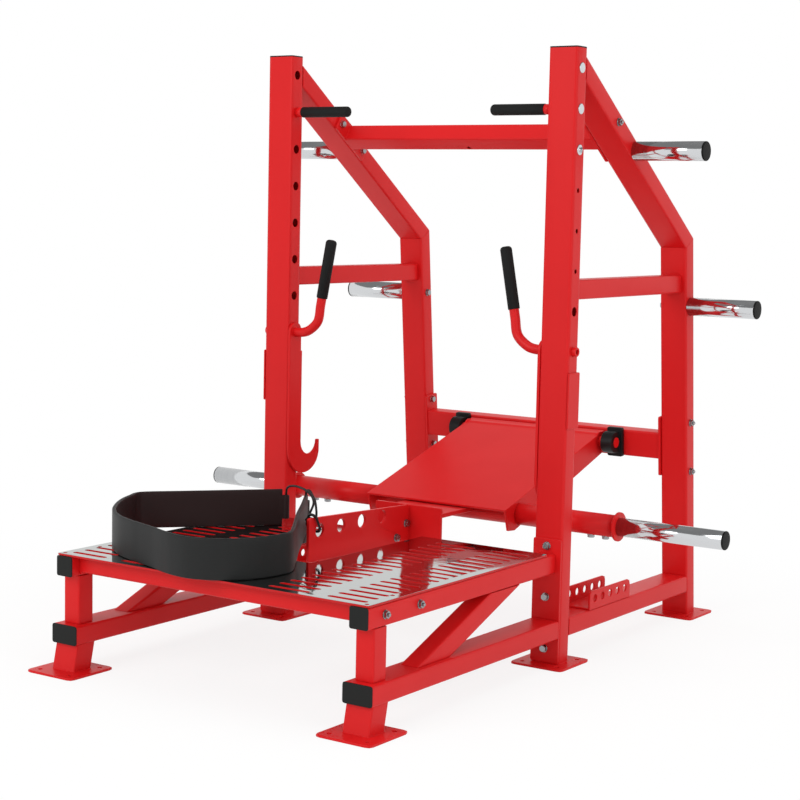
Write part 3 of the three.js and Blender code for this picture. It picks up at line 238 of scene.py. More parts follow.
@dataclass(frozen=True)
class ChromePlate(Finish):
    """Chrome plate on turned steel tube: bright, with the faint rings of its polishing."""

    name: str = "polished_chrome_plate"
    colour: str = "#D2D4D6"
    roughness: float = 0.1
    metallic: float = 1.0
    gloss_spread: tuple[float, float] = (-0.04, 0.06)
    relief: float = 0.05
    relief_mm: float = 0.05
    ring_mm: float = 2.2
    arc_mm: float = 500.0

    def make(self) -> Material:
        """Builds the material.

        Returns:
            The material. Its polishing rings run round the tube's own axis, along X, and are drawn
            coarser than real so that they show.
        """
        material, tree, place = start_material(self.name)
        size = {"Scale": (per_mm(self.ring_mm), per_mm(self.arc_mm), per_mm(self.arc_mm))}
        rings = add_node(tree, "ShaderNodeMapping", size, {"Vector": place.outputs["Object"]})
        at = {"Vector": rings.outputs["Vector"]}
        lines = add_node(tree, "ShaderNodeTexNoise", {"Scale": 1.0, "Detail": 3.0}, at)
        self.close(tree, lines.outputs["Fac"], lines.outputs["Fac"])
        return material


@dataclass(frozen=True)
class BrushedDeckSteel(Finish):
    """Polished steel skin on a painted deck plate: the top mirrors sharply, the cut edges are red.

    top_rise is the upward part of the normal from which the red turns to steel.
    """

    name: str = "brushed_stainless_sheet"
    colour: str = "#A4A8A6"
    roughness: float = 0.05
    specular: float = 0.22
    gloss_spread: tuple[float, float] = (-0.03, 0.04)
    relief: float = 0.05
    relief_mm: float = 0.02
    edge_colour: str = "#C21518"
    line_mm: float = 1.6
    stroke_mm: float = 90.0
    top_rise: tuple[float, float] = (0.75, 0.9)

    def make(self) -> Material:
        """Builds the material.

        Returns:
            The material. Its brush lines run along X and are drawn coarser than real so that they
            show.
        """
        material, tree, place = start_material(self.name)
        size = {"Scale": (per_mm(self.stroke_mm), per_mm(self.line_mm), 1.0)}
        strokes = add_node(tree, "ShaderNodeMapping", size, {"Vector": place.outputs["Object"]})
        at = {"Vector": strokes.outputs["Vector"]}
        lines = add_node(tree, "ShaderNodeTexNoise", {"Scale": 1.0, "Detail": 4.0}, at)
        face = add_node(tree, "ShaderNodeSeparateXYZ", {}, {"Vector": place.outputs["Normal"]})
        rise = dict(zip(("From Min", "From Max"), self.top_rise))
        top = add_node(tree, "ShaderNodeMapRange", rise, {"Value": face.outputs["Z"]})
        shades = {"data_type": "RGBA", 6: linear(self.edge_colour), 7: linear(self.colour)}
        colour = add_node(tree, "ShaderNodeMix", shades, {0: top.outputs["Result"]})
        links = {"Base Color": colour.outputs[2], "Metallic": top.outputs["Result"]}
        self.close(tree, lines.outputs["Fac"], lines.outputs["Fac"], links)
        return material


@dataclass(frozen=True)
class GrainedFinish(Finish):
    """A moulded, cast or plated surface with a fine grain, such as plastic, rubber or paint."""

    grain_mm: float = 1.6

    def make(self) -> Material:
        """Builds the material.

        Returns:
            The material. Its grain is a bump and a slight change of gloss, drawn coarser than real
            so that it shows.
        """
        material, tree, place = start_material(self.name)
        at = {"Vector": place.outputs["Object"]}
        grain = add_node(tree, "ShaderNodeTexNoise", {"Scale": per_mm(self.grain_mm), "Detail": 2.0}, at)
        self.close(tree, grain.outputs["Fac"], grain.outputs["Fac"])
        return material


@dataclass(frozen=True)
class BeltFabric(Finish):
    """Nylon webbing with a smooth coated face: near black with faint ribs whose dips are painted darker
    as shade, and a painted wine-dark reflection of the red frame on the faces that look into the loop.

    loop_middle is a point inside the belt's loop. A face takes the painted reflection where the dot
    product of its normal with (its place - loop_middle) is below zero, and painted_reflection_turn
    gives the values, in metres, between which it changes.
    """

    name: str = "coated_nylon_webbing"
    colour: str = "#212222"
    roughness: float = 0.52
    specular: float = 0.24
    relief: float = 0.25
    relief_mm: float = 0.15
    # Darker colour in the dips between ribs and rows: painted shade in the grooves.
    groove_shade_colour: str = "#191A1A"
    # Wine-dark red on the faces that look into the loop: a painted reflection of the red frame.
    painted_reflection_colour: str = "#2A1919"
    loop_middle: tuple = (-0.20, -0.48, 0.34)
    painted_reflection_turn: tuple[float, float] = (-0.02, -0.06)
    rib_mm: float = 2.4
    row_mm: float = 3.2
    waver: float = 0.4

    def make(self) -> Material:
        """Builds the material.

        Returns:
            The material. Its ribs follow the UV map, whose u runs along the strap.
        """
        material, tree, place = start_material(self.name)
        threads = []
        for direction, period_mm in (("X", self.rib_mm), ("Y", self.row_mm)):
            bands = {"bands_direction": direction, "Scale": wave_per_mm(period_mm)}
            bands["Distortion"] = self.waver
            wave = add_node(tree, "ShaderNodeTexWave", bands, {"Vector": place.outputs["UV"]})
            threads.append(wave.outputs["Fac"])
        weave = add_node(tree, "ShaderNodeMath", {"operation": "MULTIPLY"}, dict(enumerate(threads)))
        # The low parts of the weave take the darker colour: painted shade in the grooves.
        shades = {"data_type": "RGBA", 6: linear(self.groove_shade_colour), 7: linear(self.colour)}
        colour = add_node(tree, "ShaderNodeMix", shades, {0: weave.outputs["Value"]})
        # Faces that look into the loop turn wine-dark: a painted reflection of the red frame.
        middle = {"operation": "SUBTRACT", 1: self.loop_middle}
        outward = add_node(tree, "ShaderNodeVectorMath", middle, {0: place.outputs["Object"]})
        both = {0: outward.outputs["Vector"], 1: place.outputs["Normal"]}
        facing = add_node(tree, "ShaderNodeVectorMath", {"operation": "DOT_PRODUCT"}, both)
        turn = dict(zip(("From Min", "From Max"), self.painted_reflection_turn))
        inside = add_node(tree, "ShaderNodeMapRange", turn, {"Value": facing.outputs["Value"]})
        reflection_shades = {"data_type": "RGBA", 7: linear(self.painted_reflection_colour)}
        with_reflection = add_node(tree, "ShaderNodeMix", reflection_shades, {0: inside.outputs["Result"], 6: colour.outputs[2]})
        self.close(tree, weave.outputs["Value"], links={"Base Color": with_reflection.outputs[2]})
        return material


@dataclass(frozen=True)
class BraidedCord(Finish):
    """Braided polyester cord: two sets of strands that cross round it, with painted shade in the gaps
    between them.
    """

    name: str = "braided_polyester_cord"
    colour: str = "#101011"
    roughness: float = 0.62
    specular: float = 0.25
    relief: float = 0.6
    relief_mm: float = 0.5
    # Darker colour in the gaps between strands: painted shade.
    strand_gap_shade_colour: str = "#060606"
    lay_mm: float = 3.0
    slant: float = np.pi / 4

    def make(self) -> Material:
        """Builds the material.

        Returns:
            The material. Its two strand sets are slanted stripes on the UV map.
        """
        material, tree, place = start_material(self.name)
        strands = []
        bands = {"bands_direction": "X", "Scale": wave_per_mm(self.lay_mm)}
        for slant in (self.slant, -self.slant):
            lean = {"Rotation": (0.0, 0.0, slant)}
            slanted = add_node(tree, "ShaderNodeMapping", lean, {"Vector": place.outputs["UV"]})
            wave = add_node(tree, "ShaderNodeTexWave", bands, {"Vector": slanted.outputs["Vector"]})
            strands.append(wave.outputs["Fac"])
        braid = add_node(tree, "ShaderNodeMath", {"operation": "MAXIMUM"}, dict(enumerate(strands)))
        # The gaps between strands take the darker colour: painted shade.
        shades = {"data_type": "RGBA", 6: linear(self.strand_gap_shade_colour), 7: linear(self.colour)}
        colour = add_node(tree, "ShaderNodeMix", shades, {0: braid.outputs["Value"]})
        self.close(tree, braid.outputs["Value"], links={"Base Color": colour.outputs[2]})
        return material


# Moulded polypropylene: an even satin black with a fine spark-eroded grain.
CAP_PLASTIC = GrainedFinish("moulded_polypropylene", "#171918", 0.5, specular=0.2, relief_mm=0.12)
# The black plastic of the discs that close the chrome tubes, painted a deeper black than the caps: painted
# shade on the end faces.
SHADED_DISC_PLASTIC = GrainedFinish("turned_nylon", "#0E0F0F", 0.55, specular=0.16, relief_mm=0.1)
# Moulded rubber: dark, dull and a little dusty in the light.
GRIP_RUBBER = GrainedFinish("moulded_rubber", "#171818", 0.7, specular=0.2, relief_mm=0.2, grain_mm=2.0)
# Sand-cast iron under satin black paint: a coarse grain shows through.
CAST_IRON = GrainedFinish("painted_cast_iron", "#151617", 0.45, specular=0.22, relief_mm=0.3, grain_mm=2.6)
# Black oxide on drawn steel wire: dark grey with a satin gloss.
BLACK_OXIDE = GrainedFinish(
    "black_oxide_steel", "#0E0E10", 0.32, specular=0.3, relief_mm=0.05, grain_mm=1.2
)
# Bright zinc plate on forged bolts: pale grey and slightly dull.
ZINC_PLATE = GrainedFinish("bright_zinc_plate", "#9A9C9E", 0.26, metallic=1.0, relief_mm=0.05, grain_mm=1.5)


class Look(Enum):
    """Each finish with the record's material slot that it is filed under.

    The first finish of a slot is the one that the solids have.
    """

    PAINT = (PowderCoat(), "red_paint")
    CHROME = (ChromePlate(), "chrome")
    DECK = (BrushedDeckSteel(), "deck_steel")
    PLASTIC = (CAP_PLASTIC, "black_plastic")
    RUBBER = (GRIP_RUBBER, "rubber_grip")
    IRON = (CAST_IRON, "bearing_black")
    FABRIC = (BeltFabric(), "belt_fabric")
    CORD = (BraidedCord(), "rope")
    STEEL = (BLACK_OXIDE, "ring_steel")
    # The caps' black plastic made darker for the end discs: painted shade.
    NYLON = (SHADED_DISC_PLASTIC, "black_plastic")
    ZINC = (ZINC_PLATE, "chrome")

    @property
    def slot(self) -> str:
        """The material slot of this finish."""
        return self.value[1]

    @property
    def material(self) -> Material:
        """The material of this finish, made on its first use."""
        finish = self.value[0]
        return bpy.data.materials.get(finish.name) or finish.make()


# Meshes worked out as grids


def grid_faces(rows: int, columns: int) -> Array:
    """Quads of a grid of points whose rows are closed rings.

    Args:
        rows: Number of rows.
        columns: Number of points in a row.

    Returns:
        One row of four point numbers for each quad, where a point's number is row * columns + column.
    """
    low, left = np.meshgrid(np.arange(rows - 1) * columns, np.arange(columns), indexing="ij")
    high, right = low + columns, (left + 1) % columns
    return np.stack([low + left, low + right, high + right, high + left], axis=-1).reshape(-1, 4)


def grid_uv(u: Array, v: Array) -> Array:
    """UVs of the corners of a grid's quads.

    Args:
        u: Value of each row.
        v: Value of each column, with one more for the first again.

    Returns:
        One row of u and v for each corner, in the order of grid_faces.
    """
    low, left = np.meshgrid(np.arange(len(u) - 1), np.arange(len(v) - 1), indexing="ij")
    rows = np.stack([low, low, low + 1, low + 1], axis=-1).ravel()
    columns = np.stack([left, left + 1, left + 1, left], axis=-1).ravel()
    return np.stack([u[rows], v[columns]], axis=1)


@dataclass
class Patch:
    """Points and faces of a surface, with the UVs of the faces' corners where it has them."""

    points: Array
    faces: list[list[int]]
    uv: Array | None = None

    @staticmethod
    def tube(grid: Array) -> "Patch":
        """A grid whose rows are closed rings, with its two ends closed by flat faces.

        Args:
            grid: Points, rings by points by 3.

        Returns:
            The patch, its faces outwards where the rings turn anticlockwise about their path.
        """
        rings, columns = grid.shape[:2]
        faces = grid_faces(rings, columns).tolist()
        faces.append(list(range(columns))[::-1])
        faces.append(list(range((rings - 1) * columns, rings * columns)))
        return Patch(grid.reshape(-1, 3), faces)

    @staticmethod
    def joined(patches: list["Patch"]) -> "Patch":
        """All patches as one.

        Args:
            patches: The patches, each a closed shell.

        Returns:
            One patch that holds every shell.
        """
        points = np.concatenate([patch.points for patch in patches])
        starts = np.cumsum([0] + [len(patch.points) for patch in patches[:-1]])
        faces = [
            [int(start) + i for i in face] for start, patch in zip(starts, patches) for face in patch.faces
        ]
        uvs = [patch.uv for patch in patches]
        return Patch(points, faces, np.concatenate(uvs) if all(uv is not None for uv in uvs) else None)

    def mirrored(self, side: Side) -> "Patch":
        """The patch on one side of the machine.

        Args:
            side: The side that it is for.

        Returns:
            The patch as it is for the right, or with x turned to -x for the left.
        """
        if side is Side.RIGHT:
            return self
        return Patch(self.points * [-1, 1, 1], [face[::-1] for face in self.faces])

    def piece(
        self, name: str, body: Body, look: Look, node: str = "", smooth: bool = True
    ) -> bpy.types.Object:
        """Makes the patch an object that rides on a body.

        Args:
            name: Name of the piece.
            body: Body that it moves with.
            look: Its finish, whose material it takes.
            node: CAD node that it replaces, or nothing.
            smooth: Whether its faces are shaded smooth.

        Returns:
            The new object, at the origin.
        """
        mesh = bpy.data.meshes.new(name)
        mesh.from_pydata(self.points.tolist(), [], self.faces)
        mesh.polygons.foreach_set("use_smooth", np.full(len(self.faces), smooth))
        if self.uv is not None:
            layer = mesh.uv_layers.new(name="UVMap")
            layer.data.foreach_set("uv", self.uv.ravel())
        mesh.materials.append(look.material)
        mesh.validate()
        thing = bpy.data.objects.new(name, mesh)
        bpy.context.scene.collection.objects.link(thing)
        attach(thing, body.value)
        if node:
            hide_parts(node)
        log.info("%s: %d faces on %s", name, len(self.faces), body.value)
        return thing


def unit(vectors: Array) -> Array:
    """Vectors scaled to a length of 1 along the last axis."""
    return vectors / np.linalg.norm(vectors, axis=-1, keepdims=True)


def ring_directions(axis: Array, spare: tuple, columns: int) -> tuple[Array, Array, Array]:
    """Directions square to an axis, evenly round it.

    Args:
        axis: Direction of the axis.
        spare: Direction that the first is worked out from where the axis is near to Z.
        columns: Number of directions.

    Returns:
        The axis scaled to 1, the angles a, and the directions cos a * u + sin a * v.
    """
    w = unit(np.array(axis, dtype=float))
    helper = np.array((0.0, 0.0, 1.0) if abs(w[2]) < 0.9 else spare)
    u = unit(np.cross(helper, w))
    angle = np.linspace(0, 2 * np.pi, columns, endpoint=False)
    return w, angle, np.cos(angle)[:, None] * u + np.sin(angle)[:, None] * np.cross(w, u)


def turned(profile: list[tuple[float, float]], origin: tuple, axis: tuple, columns: int = 72) -> Patch:
    """A turned shape: each profile point goes round the axis as a ring.

    Args:
        profile: Distances along the axis with their radii, from one end to the other.
        origin: Point where the distance is zero.
        axis: Direction of the axis.
        columns: Points in a ring.

    Returns:
        The closed patch. Point = origin + distance * axis + radius * (cos a * u + sin a * v).
    """
    along, radius = np.array(profile, dtype=float).T[..., None, None]
    w, _, ring = ring_directions(axis, spare=(1.0, 0.0, 0.0), columns=columns)
    return Patch.tube(np.array(origin) + along * w + radius * ring)


def rounded_end(length: float, radius: float, edge: float, steps: int = 6) -> list[tuple[float, float]]:
    """Profile points of a quarter-round edge at the far end of a turned shape.

    Args:
        length: Distance of the end face.
        radius: Radius of the shape.
        edge: Radius of the rounding.
        steps: Number of steps over the rounding.

    Returns:
        Points from the side to the end face: distance = length - edge + edge * sin a and
        radius = radius - edge + edge * cos a.
    """
    angle = np.linspace(0, np.pi / 2, steps + 1)
    return list(zip(length - edge + edge * np.sin(angle), radius - edge + edge * np.cos(angle)))


def soft_route(points: Array, samples: int, centripetal: bool) -> Array:
    """A Catmull-Rom curve through points, sampled evenly in its own parameter.

    Args:
        points: Points that the curve passes, n by 2 or n by 3.
        samples: Number of samples.
        centripetal: Whether knots are spaced by the root of the distance, or all alike.

    Returns:
        The samples. Each span is the cubic a + b t + c t^2 + d t^3 whose ends and end slopes
        follow the four points about it.
    """
    last = len(points) - 1
    place = np.linspace(0, last, samples)
    span = np.minimum(place.astype(int), last - 1)
    t = (place - span)[:, None]
    if centripetal:
        padded = np.vstack([2 * points[0] - points[1], points, 2 * points[-1] - points[-2]])
    else:
        padded = np.vstack([points[0], points, points[-1]])
    p0, p1, p2, p3 = (padded[span + k] for k in range(4))
    if centripetal:
        spans = ((p0, p1), (p1, p2), (p2, p3))
        g0, g1, g2 = (np.linalg.norm(b - a, axis=1, keepdims=True) ** 0.5 for a, b in spans)
        start = ((p1 - p0) / g0 - (p2 - p0) / (g0 + g1) + (p2 - p1) / g1) * g1
        end = ((p2 - p1) / g1 - (p3 - p1) / (g1 + g2) + (p3 - p2) / g2) * g1
    else:
        start, end = (p2 - p0) / 2, (p3 - p1) / 2
    return (
        p1
        + start * t
        + (3 * p2 - 3 * p1 - 2 * start - end) * t**2
        + (2 * p1 - 2 * p2 + start + end) * t**3
    )


def distance_along(path: Array) -> Array:
    """Distance of each point of a polyline from its start."""
    return np.concatenate([[0], np.cumsum(np.linalg.norm(np.diff(path, axis=0), axis=1))])


def evenly(path: Array, count: int) -> Array:
    """Points at equal distances along a polyline.

    Args:
        path: Points of the polyline.
        count: Number of new points.

    Returns:
        The new points, each on the straight line between the two old ones about it.
    """
    far = distance_along(path)
    wanted = np.linspace(0, far[-1], count)
    return np.stack([np.interp(wanted, far, column) for column in path.T], axis=1)


def swept(path: Array, section: Array, flank: tuple) -> Patch:
    """A section carried along a path.

    Args:
        path: Points of the path, n by 3.
        section: Points of the closed section, m by 2, anticlockwise.
        flank: A direction that is never along the path; the section's x is across it.

    Returns:
        The patch: point = path + x * side + y * lift, where side = tangent x flank scaled to 1
        and lift = side x tangent. Its UV is the distance along the path and round the section.
    """
    tangent = unit(np.gradient(path, axis=0))
    side = unit(np.cross(tangent, np.array(flank, dtype=float)))
    lift = np.cross(side, tangent)
    turn = section[::-1]
    grid = path[:, None, :] + turn[None, :, :1] * side[:, None, :] + turn[None, :, 1:] * lift[:, None, :]
    around = distance_along(np.vstack([turn, turn[:1]]))
    tube = Patch.tube(grid)
    tube.uv = np.concatenate([grid_uv(distance_along(path), around), turn[::-1], turn])
    return tube


def round_section(radius: float, count: int) -> Array:
    """A circle as a section, anticlockwise: radius * (cos a, sin a)."""
    angle = np.linspace(0, 2 * np.pi, count, endpoint=False)
    return radius * np.stack([np.cos(angle), np.sin(angle)], axis=1)


def strap_section(width: float, height: float, edge: float, steps: int = 5, between: int = 7) -> Array:
    """A rectangle with rounded corners as a section, anticlockwise.

    Args:
        width: Size in x.
        height: Size in y.
        edge: Radius of the corners.
        steps: Number of steps over a corner.
        between: Number of points on each upright side between its corners.

    Returns:
        The points, where a corner is its centre + edge * (cos a, sin a).
    """
    angle = np.linspace(0, np.pi / 2, steps + 1)
    corner = edge * np.stack([np.cos(angle), np.sin(angle)], axis=1)
    w, h = width / 2 - edge, height / 2 - edge
    turns = []
    for quarter, (x, y) in enumerate([(w, h), (-w, h), (-w, -h), (w, -h)]):
        c, s = np.cos(quarter * np.pi / 2), np.sin(quarter * np.pi / 2)
        turns.append(corner @ np.array([[c, s], [-s, c]]) + [x, y])
    rise = np.linspace(-h, h, between + 2)[1:-1]
    left = np.stack([np.full(between, -width / 2), -rise], axis=1)
    right = np.stack([np.full(between, width / 2), rise], axis=1)
    return np.concatenate([turns[0], turns[1], left, turns[2], turns[3], right])


def build_pairs(pairs: list[tuple[Patch, str, str, Look]], bodies: dict[Side, Body]) -> None:
    """Makes each patch a piece on the right and, reflected, one on the left.

    Args:
        pairs: Patch of the right side, name of its pieces, name of the CAD nodes that they replace
            or nothing, and finish. In both names, {} stands for the side.
        bodies: Body that the pieces of each side move with.
    """
    for side in Side:
        for patch, name, node, look in pairs:
            patch.mirrored(side).piece(name.format(side.word), bodies[side], look, node.format(side.word))


# Carried-over CAD nodes


@dataclass
class CadSurfaces:
    """The frame's own solids: edges eased a little and each given its real finish."""

    edge: float = 0.9 * MM
    sharp_angle: float = np.radians(58)

    def ease(self, thing: bpy.types.Object) -> None:
        """Welds, bevels and shades one CAD node with modifiers, which leave its mesh alone.

        Args:
            thing: The CAD node's object.
        """
        thing.data.polygons.foreach_set("use_smooth", np.ones(len(thing.data.polygons), dtype=bool))
        weld = thing.modifiers.new("weld", "WELD")
        weld.merge_threshold = 0.002 * MM
        bevel = thing.modifiers.new("eased_edges", "BEVEL")
        bevel.width = self.edge
        bevel.segments = 2
        bevel.limit_method = "ANGLE"
        bevel.angle_limit = self.sharp_angle
        bevel.use_clamp_overlap = False
        normals = thing.modifiers.new("weighted_normals", "WEIGHTED_NORMAL")
        normals.mode = "FACE_AREA"
        normals.weight = 50

    def dress(self, skip: set[str]) -> None:
        """Gives every CAD node its material, and each that stays its eased edges.

        Args:
            skip: Names of nodes that new pieces replace.
        """
        slots = {part["node"]: part["material_slot"] for part in frame["record"]["subparts"]}
        looks = {look.slot: look for look in reversed(Look)}
        for name, thing in frame["nodes"].items():
            thing.data.materials.clear()
            thing.data.materials.append(looks[slots[name]].material)
            if name not in skip:
                self.ease(thing)
        log.info("dressed %d CAD nodes", len(frame["nodes"]) - len(skip))


# Fasteners


@dataclass
class HexBolts:
    """Zinc-plated hex bolts and nuts on flat washers, over the plain ones of the solids.

    face is the share of the flats that a head's round top face has, cone the height that the hexagon
    loses for each metre outside it, and sunk how far a washer goes into its face.
    """

    across_flats: float = 16.2 * MM
    head: float = 6.9 * MM
    face: float = 0.94
    cone: float = 0.5
    washer: float = 21.0 * MM
    washer_thick: float = 2.3 * MM
    washer_edge: float = 0.4 * MM
    sunk: float = 0.3 * MM
    stub: float = 8.4 * MM
    stub_edge: float = 0.8 * MM
    stub_gap: float = 0.05 * MM

    def one(self, place: Array, normal: Array, proud: float) -> Patch:
        """One bolt on a face.

        Args:
            place: Point on the face under the middle of the washer.
            normal: Direction that the head looks in.
            proud: Length of thread past a nut, or zero for a head.

        Returns:
            The closed patch. A head's ring is the hexagon r = flat / cos(a to the nearest
            flat), cut off at its top by a cone that leaves a round face.
        """
        w, angle, ring = ring_directions(normal, spare=(0.0, 1.0, 0.0), columns=48)
        flat, rim, stub = self.across_flats / 2, self.washer / 2, self.stub / 2
        hexagon = flat / np.cos((angle + np.pi / 6) % (np.pi / 3) - np.pi / 6)
        top, tip = self.washer_thick + self.head, self.washer_thick + self.head + proud
        rows = [
            (rim, -self.sunk),
            (rim, self.washer_thick - self.washer_edge),
            (rim - self.washer_edge, self.washer_thick),
            (hexagon, self.washer_thick),
            (hexagon, top - (hexagon - flat * self.face) * self.cone),
            (flat * self.face, top),
        ]
        if proud > 0:
            edge = self.stub_edge
            rows += [(stub, top + self.stub_gap), (stub, tip - edge), (stub - edge, tip)]
        radius, height = (np.stack([np.broadcast_to(row[k], angle.shape) for row in rows]) for k in (0, 1))
        return Patch.tube(np.array(place) + radius[..., None] * ring + height[..., None] * w)

    def build(self, name: str, body: Body, places: list) -> None:
        """All bolts of one body as one piece.

        Args:
            name: Name of the piece.
            body: Body that the bolts move with.
            places: Place, normal and proud length of each bolt.
        """
        patch = Patch.joined([self.one(*place) for place in places])
        patch.piece(name, body, Look.ZINC, smooth=False)


@dataclass
class FrameBoltPlaces:
    """Where the frame's bolts sit, in the same places as those of the solids.

    Every y counts from the middle of the front uprights, brace is the direction of the top brace, and
    each pitch is half of the distance between two bolts.
    """

    proud: float = 4.5 * MM
    flange: float = 393.7 * MM
    brace: tuple = (0.0, 0.8217, -0.5699)
    brace_start: tuple = (10.8 * MM, 1506.5 * MM)
    beam_y: float = 250 * MM
    beam_pitch: float = 0.061
    rear: tuple = (699.4 * MM, 0.490)
    rear_lean: float = np.radians(5.2)
    rear_pitch: float = 0.070
    mid_brace: tuple = (663.1 * MM, 0.889)
    mount_plate: tuple = (0.440, -31.3 * MM)
    mount_heights: tuple = (0.307, 0.176, 0.043)
    rail: tuple = (0.465, 0.2646)
    rail_inner: float = 408.7 * MM
    rail_ys: tuple = (-0.780, -0.644)

    def places(self) -> list:
        """The bolts of both sides.

        Returns:
            Point, normal and length of thread past a nut of each bolt.
        """
        brace = np.array(self.brace)
        lean = unit(np.array([0.0, -np.tan(self.rear_lean), 1.0]))
        (start_y, start_z), (rear_y, rear_z), (mid_y, mid_z) = self.brace_start, self.rear, self.mid_brace
        beam = np.array([0.0, start_y + UPRIGHT_Y, start_z]) + brace * ((self.beam_y - start_y) / brace[1])
        rear = np.array([0.0, rear_y + UPRIGHT_Y, rear_z])
        (plate_x, plate_y), (rail_x, rail_z) = self.mount_plate, self.rail
        places = []
        for side in Side:
            out = np.array([side.value, 0.0, 0.0])
            outer, inner, flange = out * SIDE_OUTER, out * SIDE_INNER, out * self.flange
            places.append((beam - brace * self.beam_pitch + outer, out, self.proud))
            for end in (-1, 1):
                places.append((beam + brace * self.beam_pitch * end + flange, -out, 0.0))
                places.append((rear + lean * self.rear_pitch * end + outer, out, self.proud))
                places.append((rear + lean * self.rear_pitch * end + flange, -out, 0.0))
            places.append((inner + [0, mid_y + UPRIGHT_Y, mid_z], -out, 0.0))
            for height in self.mount_heights:
                places.append((out * plate_x + [0, plate_y + UPRIGHT_Y, height], np.array([0, -1, 0]), 0.0))
            for y in self.rail_ys:
                places.append((out * rail_x + [0, y + UPRIGHT_Y, rail_z], out, self.proud))
            places.append((out * self.rail_inner + [0, self.rail_ys[-1] + UPRIGHT_Y, rail_z], -out, 0.0))
        return places


@dataclass
class LeverBoltPlaces:
    """Where the lever's bolts sit: through the tongue, and up into the cross tube from below."""

    tongue: tuple = ((-0.024, 0.313), (-0.069, 0.280))
    tongue_right: float = 0.004
    tongue_left: float = -0.0123
    tube_xs: tuple = (0.444, 0.487, -0.416, -0.459)
    tube_bottom: tuple = (0.193, 0.3072)

    def places(self) -> list:
        """The bolts of both sides.

        Returns:
            Point, normal and length of thread past a nut of each bolt.
        """
        places = []
        for y, z in self.tongue:
            for x, way in ((self.tongue_right, 1), (self.tongue_left, -1)):
                places.append((np.array([x, y + UPRIGHT_Y, z]), np.array([way, 0, 0]), 0.0))
        y, z = self.tube_bottom
        for x in self.tube_xs:
            places.append((np.array([x, y + UPRIGHT_Y, z]), np.array([0, 0, -1]), 0.0))
        return places


# Round steel parts


@dataclass
class StorageHorns:
    """Chrome horns for spare plates on the outer faces, each with a plastic cap."""

    radius: float = 25.2 * MM
    edge: float = 1.2 * MM
    cap_edge: float = 2.2 * MM
    cap_gap: float = 0.1 * MM
    start: float = 0.4803
    end: float = 0.6782
    cap_end: float = 0.6823
    upper: tuple[float, float] = (0.340, 1.3059)
    lower: tuple[float, float] = (0.7031, 0.8890)

    def build(self) -> None:
        """Builds four horns and their caps."""
        radius, length = self.radius, self.end - self.start
        wall = [(0, radius), (length - self.edge, radius), (length, radius - self.edge)]
        disc = [(self.cap_gap, radius), *rounded_end(self.cap_end - self.end, radius, self.cap_edge)]
        for level, (y, z) in (("upper", self.upper), ("lower", self.lower)):
            horn = turned(wall, (self.start, y, z), (1, 0, 0), FINE_RING)
            cap = turned(disc, (self.end, y, z), (1, 0, 0), FINE_RING)
            pairs = [
                (horn, level + "_horn_{}_turned", level + "_horn_{}", Look.CHROME),
                (cap, level + "_horn_cap_{}_turned", level + "_horn_cap_{}", Look.NYLON),
            ]
            build_pairs(pairs, ON_FRAME)


@dataclass
class UpperGrips:
    """Hand grips at head height: a painted stub and a rubber sleeve on it."""

    y: float = UPRIGHT_Y
    z: float = 1.398
    stub_radius: float = 13.1 * MM
    stub_face: float = 11.0 * MM
    stub_length: float = 20.0 * MM
    stub_edge: float = 0.8 * MM
    stub_gap: float = 0.3 * MM
    sleeve_radius: float = 14.2 * MM
    sleeve_edge: float = 1.0 * MM
    sleeve_round: float = 9.0 * MM
    sleeve_start: float = 0.3794
    sleeve_end: float = 0.2228

    def build(self) -> None:
        """Builds both grips."""
        profile = [
            (0, self.stub_radius),
            (self.stub_length - self.stub_edge, self.stub_radius),
            (self.stub_length, self.stub_radius - self.stub_edge),
            (self.stub_length, self.stub_face),
        ]
        stub = turned(profile, (SIDE_INNER - self.stub_gap, self.y, self.z), (-1, 0, 0))
        length = self.sleeve_start - self.sleeve_end
        profile = [
            (0.0, self.sleeve_radius - self.sleeve_edge),
            (self.sleeve_edge, self.sleeve_radius),
            *rounded_end(length, self.sleeve_radius, self.sleeve_round, steps=10),
        ]
        sleeve = turned(profile, (self.sleeve_start, self.y, self.z), (-1, 0, 0))
        pairs = [
            (stub, "upper_grip_stub_{}", "upper_grip_bar_{}", Look.PAINT),
            (sleeve, "upper_grip_rubber_{}", "upper_grip_sleeve_{}", Look.RUBBER),
        ]
        build_pairs(pairs, ON_FRAME)


@dataclass
class SafetyCatchHandles:
    """The bent rods of the two catches and the rubber grips on them. Routes are in X and Z."""

    rod_radius: float = 12.7 * MM
    grip_radius: float = 15.2 * MM
    grip_gap: float = 0.3 * MM
    grip_edge: float = 0.8 * MM
    grip_round: float = 9.0 * MM
    route_mm: tuple = (
        (396.0, 798.0), (373.0, 798.0), (350.0, 803.5), (318.0, 830.67), (309.18, 874.0), (305.0, 896.0),
        (277.09, 1043.0),
    )
    grip_start_mm: tuple = (305.0, 896.0)
    grip_end_mm: tuple = (275.0, 1054.0)

    def build(self) -> None:
        """Builds both handles."""
        flat = soft_route(np.array(self.route_mm) * MM, samples=90, centripetal=True)
        path = np.stack([flat[:, 0], np.full(len(flat), UPRIGHT_Y), flat[:, 1]], axis=1)
        rod = swept(path, round_section(self.rod_radius, count=32), flank=(0, 1, 0))
        (x0, z0), (x1, z1) = np.array(self.grip_start_mm) * MM, np.array(self.grip_end_mm) * MM
        length = float(np.hypot(x1 - x0, z1 - z0))
        profile = [
            (0.0, self.rod_radius + self.grip_gap),
            (0.0, self.grip_radius - self.grip_edge),
            (self.grip_edge, self.grip_radius),
            *rounded_end(length, self.grip_radius, self.grip_round, steps=10),
        ]
        grip = turned(profile, (x0, UPRIGHT_Y, z0), (x1 - x0, 0, z1 - z0))
        pairs = [
            (rod, "catch_rod_{}", "", Look.PAINT),
            (grip, "catch_grip_rubber_{}", "catch_grip_{}", Look.RUBBER),
        ]
        build_pairs(pairs, ON_CATCH)


